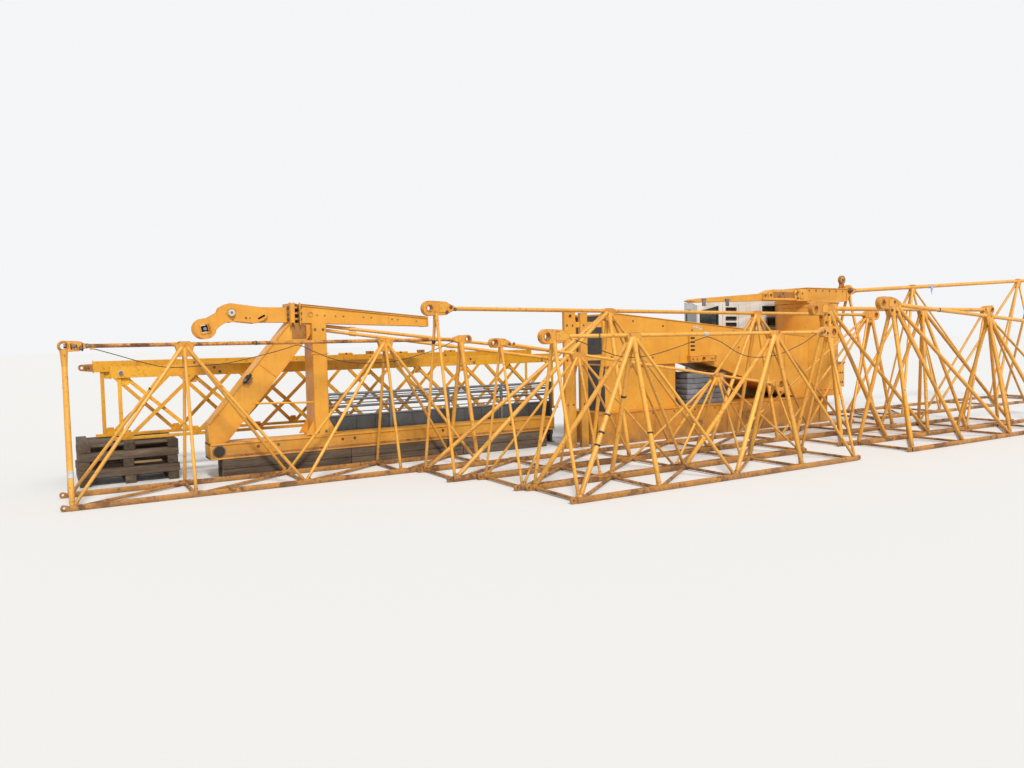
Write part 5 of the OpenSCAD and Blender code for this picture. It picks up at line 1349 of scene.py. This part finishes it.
# painted shade: a near-black ring in the groove of the sheave
box.finish("paintedShade").ring(wheel, toBack, cap["groove"], 0.026, 32)
box.finish("brownPaint")
for y in (wheel.y - 0.036, wheel.y + 0.036):
    box.block((wheel.x - 0.03, y - 0.006, capHigh.z), (wheel.x + 0.03, y + 0.006, wheel.z + 0.03), 0.002)
box.finish("wornSteel").bolt(wheel - Vector((0, 0.042, 0)), toFront, 0.02)
box.done()

# Beam over the cab: end block with flanges, dark recess, grey clips and bolts
beamTop = {"block": 0.34, "recess": (11.93, 12.535), "channel": (11.64, 12.84), "plug": 0.024,
           "boltRadius": 0.012,
           # lugs: (left, right, low edge, high edge, how far they stand out) and bolts: (yard x, height)
           "lugs": ((11.66, 11.74, 0.0, 0.135, 0.030), (11.80, 11.92, 0.0, 0.150, 0.026),
                    (12.54, 12.62, 0.03, 0.205, 0.030), (12.69, 12.80, 0.03, 0.215, 0.042)),
           "plugs": ((11.70, 0.09), (11.86, 0.10), (12.58, 0.13), (12.75, 0.14)), "clips": (10.08, 10.67)}
low, high = boxOf("cab_beam")
beamTrim = Piece("cabBeamFittings", "yellow_paint", "platePaint")
for z in (high.z - 0.016, top - 0.008):
    beamTrim.block((high.x - beamTop["block"], beamFront - 0.034, z),
                   (high.x - 0.002, beamFront + 0.21, z + 0.018), 0.003)
# a brown sheet, darker than the plate, between two pairs of lugs, over a lower channel
x0, x1 = beamTop["channel"]
beamTrim.block((x0, beamFront - 0.024, top + 0.002), (x1, beamFront, top + 0.045), 0.003)
for x0, x1, z0, z1, proud in beamTop["lugs"]:
    beamTrim.block((x0, beamFront - proud, top + z0), (x1, beamFront + 0.002, top + z1), 0.006)
x0, x1 = beamTop["recess"]
beamTrim.finish("brownPaint").block((x0, beamFront - 0.004, top + 0.047), (x1, beamFront + 0.002, top + 0.165))
beamTrim.finish("rustedSteel")
for x, z in beamTop["plugs"]:
    beamTrim.tube((x, beamFront - 0.045, top + z), (x, beamFront - 0.02, top + z), beamTop["plug"], 16)
beamTrim.bolts([(high.x - x, beamFront - 0.03, top + z) for x in (0.32, 0.29) for z in (0.05, 0.16)], toFront,
               beamTop["boltRadius"])
beamTrim.finish("galvanised")
for x in beamTop["clips"]:
    beamTrim.block((x - 0.004, beamFront - 0.019, top - 0.122), (x + 0.076, beamFront - 0.004, top + 0.002),
                   0.003)
    beamTrim.block((x - 0.014, beamFront - 0.024, top - 0.01), (x + 0.086, beamFront - 0.002, top + 0.014),
                   0.003)
beamTrim.done()
print("slewing works dressed")

# Cab: painted shade of the room behind the windows, seals, window bars, seams, roof edge and seat
cab = {"left": 11.03, "wall": 0.05, "seal": 0.016, "long": 2.345, "high": 2.515, "drop": 0.15, "floor": 0.30,
       "swept": 32, "sill": 0.43, "louvres": (0, 3, 5), "seams": (0.70, 1.16, 1.80), "bar": 0.011,
       "roof": ((0.305, -0.0525), (0.8443, -0.0075), (1.876, 0.0), (2.335, -0.01875))}
low, high = boxOf("cab_shell")
cabX, cabFront, cabBack, long, floorZ, roofZ, drop = (cab["left"], low.y, high.y, cab["long"], cab["floor"],
                                                      cab["high"], cab["drop"])
sill, slotHigh = floorZ + (roofZ - floorZ) * cab["sill"], long / 38
upper, lower = roofZ - drop * 1.6, roofZ - drop * 3.7
windows = [[(0.075, sill), (long * 0.245, sill), (long * 0.245, roofZ - drop), (0.075, roofZ - drop * 1.7)]]
windows += [rectangle(long * 0.34, upper - k * slotHigh, long * 0.465, upper - k * slotHigh + slotHigh)
            for k in cab["louvres"]]
windows.append(rectangle(long * 0.8, upper, long * 0.97, upper + slotHigh * 1.6))
windows.append(rectangle(long * 0.855, lower, long * 0.975, lower + slotHigh * 2.8))
trim = Piece("cabTrim", "cab_white", "rubber")
sweep = (cabBack - cabFront) * math.tan(math.radians(cab["swept"]))
for face, hand, start in ((cabFront, -1, 0.06), (cabBack, 1, sweep + 0.03)):
    for index, outline in enumerate(windows):
        if outline[0][0] < start:
            continue
        framed = index == 5  # the lowest window at the right has a metal frame
        trim.finish("galvanised" if framed else "rubber")
        for (ax, az), (bx, bz) in zip(outline, outline[1:] + outline[:1]):
            trim.tube((cabX + ax, face, az), (cabX + bx, face, bz), cab["seal"] * (1.1 if framed else 0.7), 10)
            trim.tube((cabX + ax, face - 0.001, az), (cabX + ax, face + 0.001, az), cab["seal"] * 0.8, 10)
    # panel seams, a rubbing strip, a handle and the roof edge
    trim.finish("galvanised")
    a, b = sorted((face, face + hand * 0.002))
    for x in cab["seams"]:
        trim.block((cabX + x, a, floorZ + 0.04), (cabX + x + 0.006, b, roofZ - 0.10))
    for z in (sill - 0.05, floorZ + 0.12):
        trim.block((cabX + start, a, z), (cabX + long - 0.04, b, z + 0.008))
    x, y = cabX + 1.22, face + hand * 0.03
    trim.finish("wornSteel").tube((x, y, sill - 0.02), (x, y, sill + 0.16), 0.009, 12)
    trim.finish("cabPaint")
    y = face - hand * 0.004
    for (ax, az), (bx, bz) in zip(cab["roof"], cab["roof"][1:]):
        trim.tube((cabX + max(ax, start), y, roofZ + az - 0.004), (cabX + bx, y, roofZ + bz - 0.004), 0.012, 10)
# window bars inside the near front window
y = cabFront + 0.03
trim.finish("rubber")
for x in (0.22, 0.40):
    trim.tube((cabX + x, y, sill), (cabX + x + 0.05, y, roofZ - drop * 1.3), cab["bar"], 10)
trim.tube((cabX + 0.08, y, sill + 0.42), (cabX + 0.57, y, sill + 0.46), cab["bar"], 10)
# painted shade: near-black sheets line the room, set behind the windows
trim.finish("paintedShade")
inset, wallX = cab["wall"] + 0.03, cabX + sweep + 0.10
for y in (cabFront + inset, cabBack - inset - 0.01):
    trim.block((wallX, y, floorZ + 0.07), (cabX + long - 0.07, y + 0.01, roofZ - 0.09))
trim.block((wallX, cabFront + inset, floorZ + 0.07), (wallX + 0.02, cabBack - inset, roofZ - 0.11))
trim.finish("rubber")
seat = Vector((cabX + 0.44, cabFront + 0.12, floorZ))
trim.block(seat + Vector((0, 0, 0.45)), seat + Vector((0.28, 0.32, 0.58)), 0.03)
trim.block(seat + Vector((0.2, 0, 0.55)), seat + Vector((0.29, 0.32, 1.25)), 0.03)
trim.done()

# Cab base frame: foot plates and bolts at its corners
cleat = {"inset": 0.05, "half": 0.06, "thick": 0.012, "boltRadius": 0.014}
low, high = boxOf("cab_base")
cleats = Piece("cabBaseCleats", "galvanised", "galvanised")
for x in (low.x + cleat["inset"], high.x - cleat["inset"]):
    for y in (low.y + cleat["inset"], high.y - cleat["inset"]):
        half = cleat["half"]
        cleats.finish("galvanised").block((x - half, y - half, 0.0), (x + half, y + half, cleat["thick"]),
                                          0.003)
        cleats.finish("rustedSteel").bolt((x, y - 0.05, high.z - 0.06), toFront, cleat["boltRadius"])
cleats.done()
print("cab dressed")

# The solids that stay get their finish
nodeFinish = {"counter_jib_girders": "brightPaint", "bed_box": "bedPaint", "cab_base": "galvanised",
              "cab_shell": "cabPaint", "cab_glass": "dustyGlass"}
for name in ("head_column", "head_strut", "head_arm", "head_horns", "plate_girder", "girder_end_posts",
             "column_head_box", "cab_beam"):
    nodeFinish[name] = "platePaint"
for name, finish in nodeFinish.items():
    data = nodes[name].data
    data.materials.clear()
    data.materials.append(finishes[finish])

# The studio: a pale floor that runs to a pale backdrop, and soft light
studio = {"floorReach": 400.0, "floorZ": -0.002, "floorColour": (0.74, 0.74, 0.73, 1), "floorRough": 0.9,
          "sky": (0.93, 0.96, 1.0, 1), "skyPower": 0.60, "backdrop": (0.98, 0.985, 1.0, 1),
          "backdropPower": 0.93, "sun": (1.0, 0.96, 0.90), "sunPower": 2.85, "sunAngle": 12.0,
          "sunWay": (0.16, 0.77, -0.78)}
floor = bpy.data.meshes.new("floor")
reach = studio["floorReach"]
floor.from_pydata([(x, y, studio["floorZ"]) for x, y in rectangle(-reach, -reach, reach, reach)], [],
                  [(0, 1, 2, 3)])
floorMaterial = bpy.data.materials.new("paleFloor")
floorMaterial.use_nodes = True
floorShader = floorMaterial.node_tree.nodes["Principled BSDF"].inputs
floorShader["Base Color"].default_value = studio["floorColour"]
floorShader["Roughness"].default_value = studio["floorRough"]
floor.materials.append(floorMaterial)
floorPiece = bpy.data.objects.new("floor", floor)
bpy.context.scene.collection.objects.link(floorPiece)
floorPiece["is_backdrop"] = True

world = bpy.data.worlds.new("studio")
bpy.context.scene.world = world
world.use_nodes = True
tree = world.node_tree
tree.nodes.clear()
rays = put(tree, "ShaderNodeLightPath").outputs
shown = calc(tree, "MAXIMUM", rays["Is Camera Ray"],
             calc(tree, "MAXIMUM", rays["Is Glossy Ray"], rays["Is Transmission Ray"]))
lit, seen = [put(tree, "ShaderNodeBackground", {},
                 {"Color": studio[colour], "Strength": studio[power]}).outputs[0]
             for colour, power in (("sky", "skyPower"), ("backdrop", "backdropPower"))]
mixed = put(tree, "ShaderNodeMixShader", {}, {0: shown, 1: lit, 2: seen})
put(tree, "ShaderNodeOutputWorld", {}, {0: mixed.outputs[0]})

sunData = bpy.data.lights.new("sun", "SUN")
sunData.energy = studio["sunPower"]
sunData.angle = math.radians(studio["sunAngle"])
sunData.color = studio["sun"]
sun = bpy.data.objects.new("sun", sunData)
bpy.context.scene.collection.objects.link(sun)
sun.rotation_euler = Vector(studio["sunWay"]).to_track_quat("-Z", "Y").to_euler()
print("studio lit")

low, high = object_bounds()
print("visual box", [round(v, 3) for v in (*low, *high)])
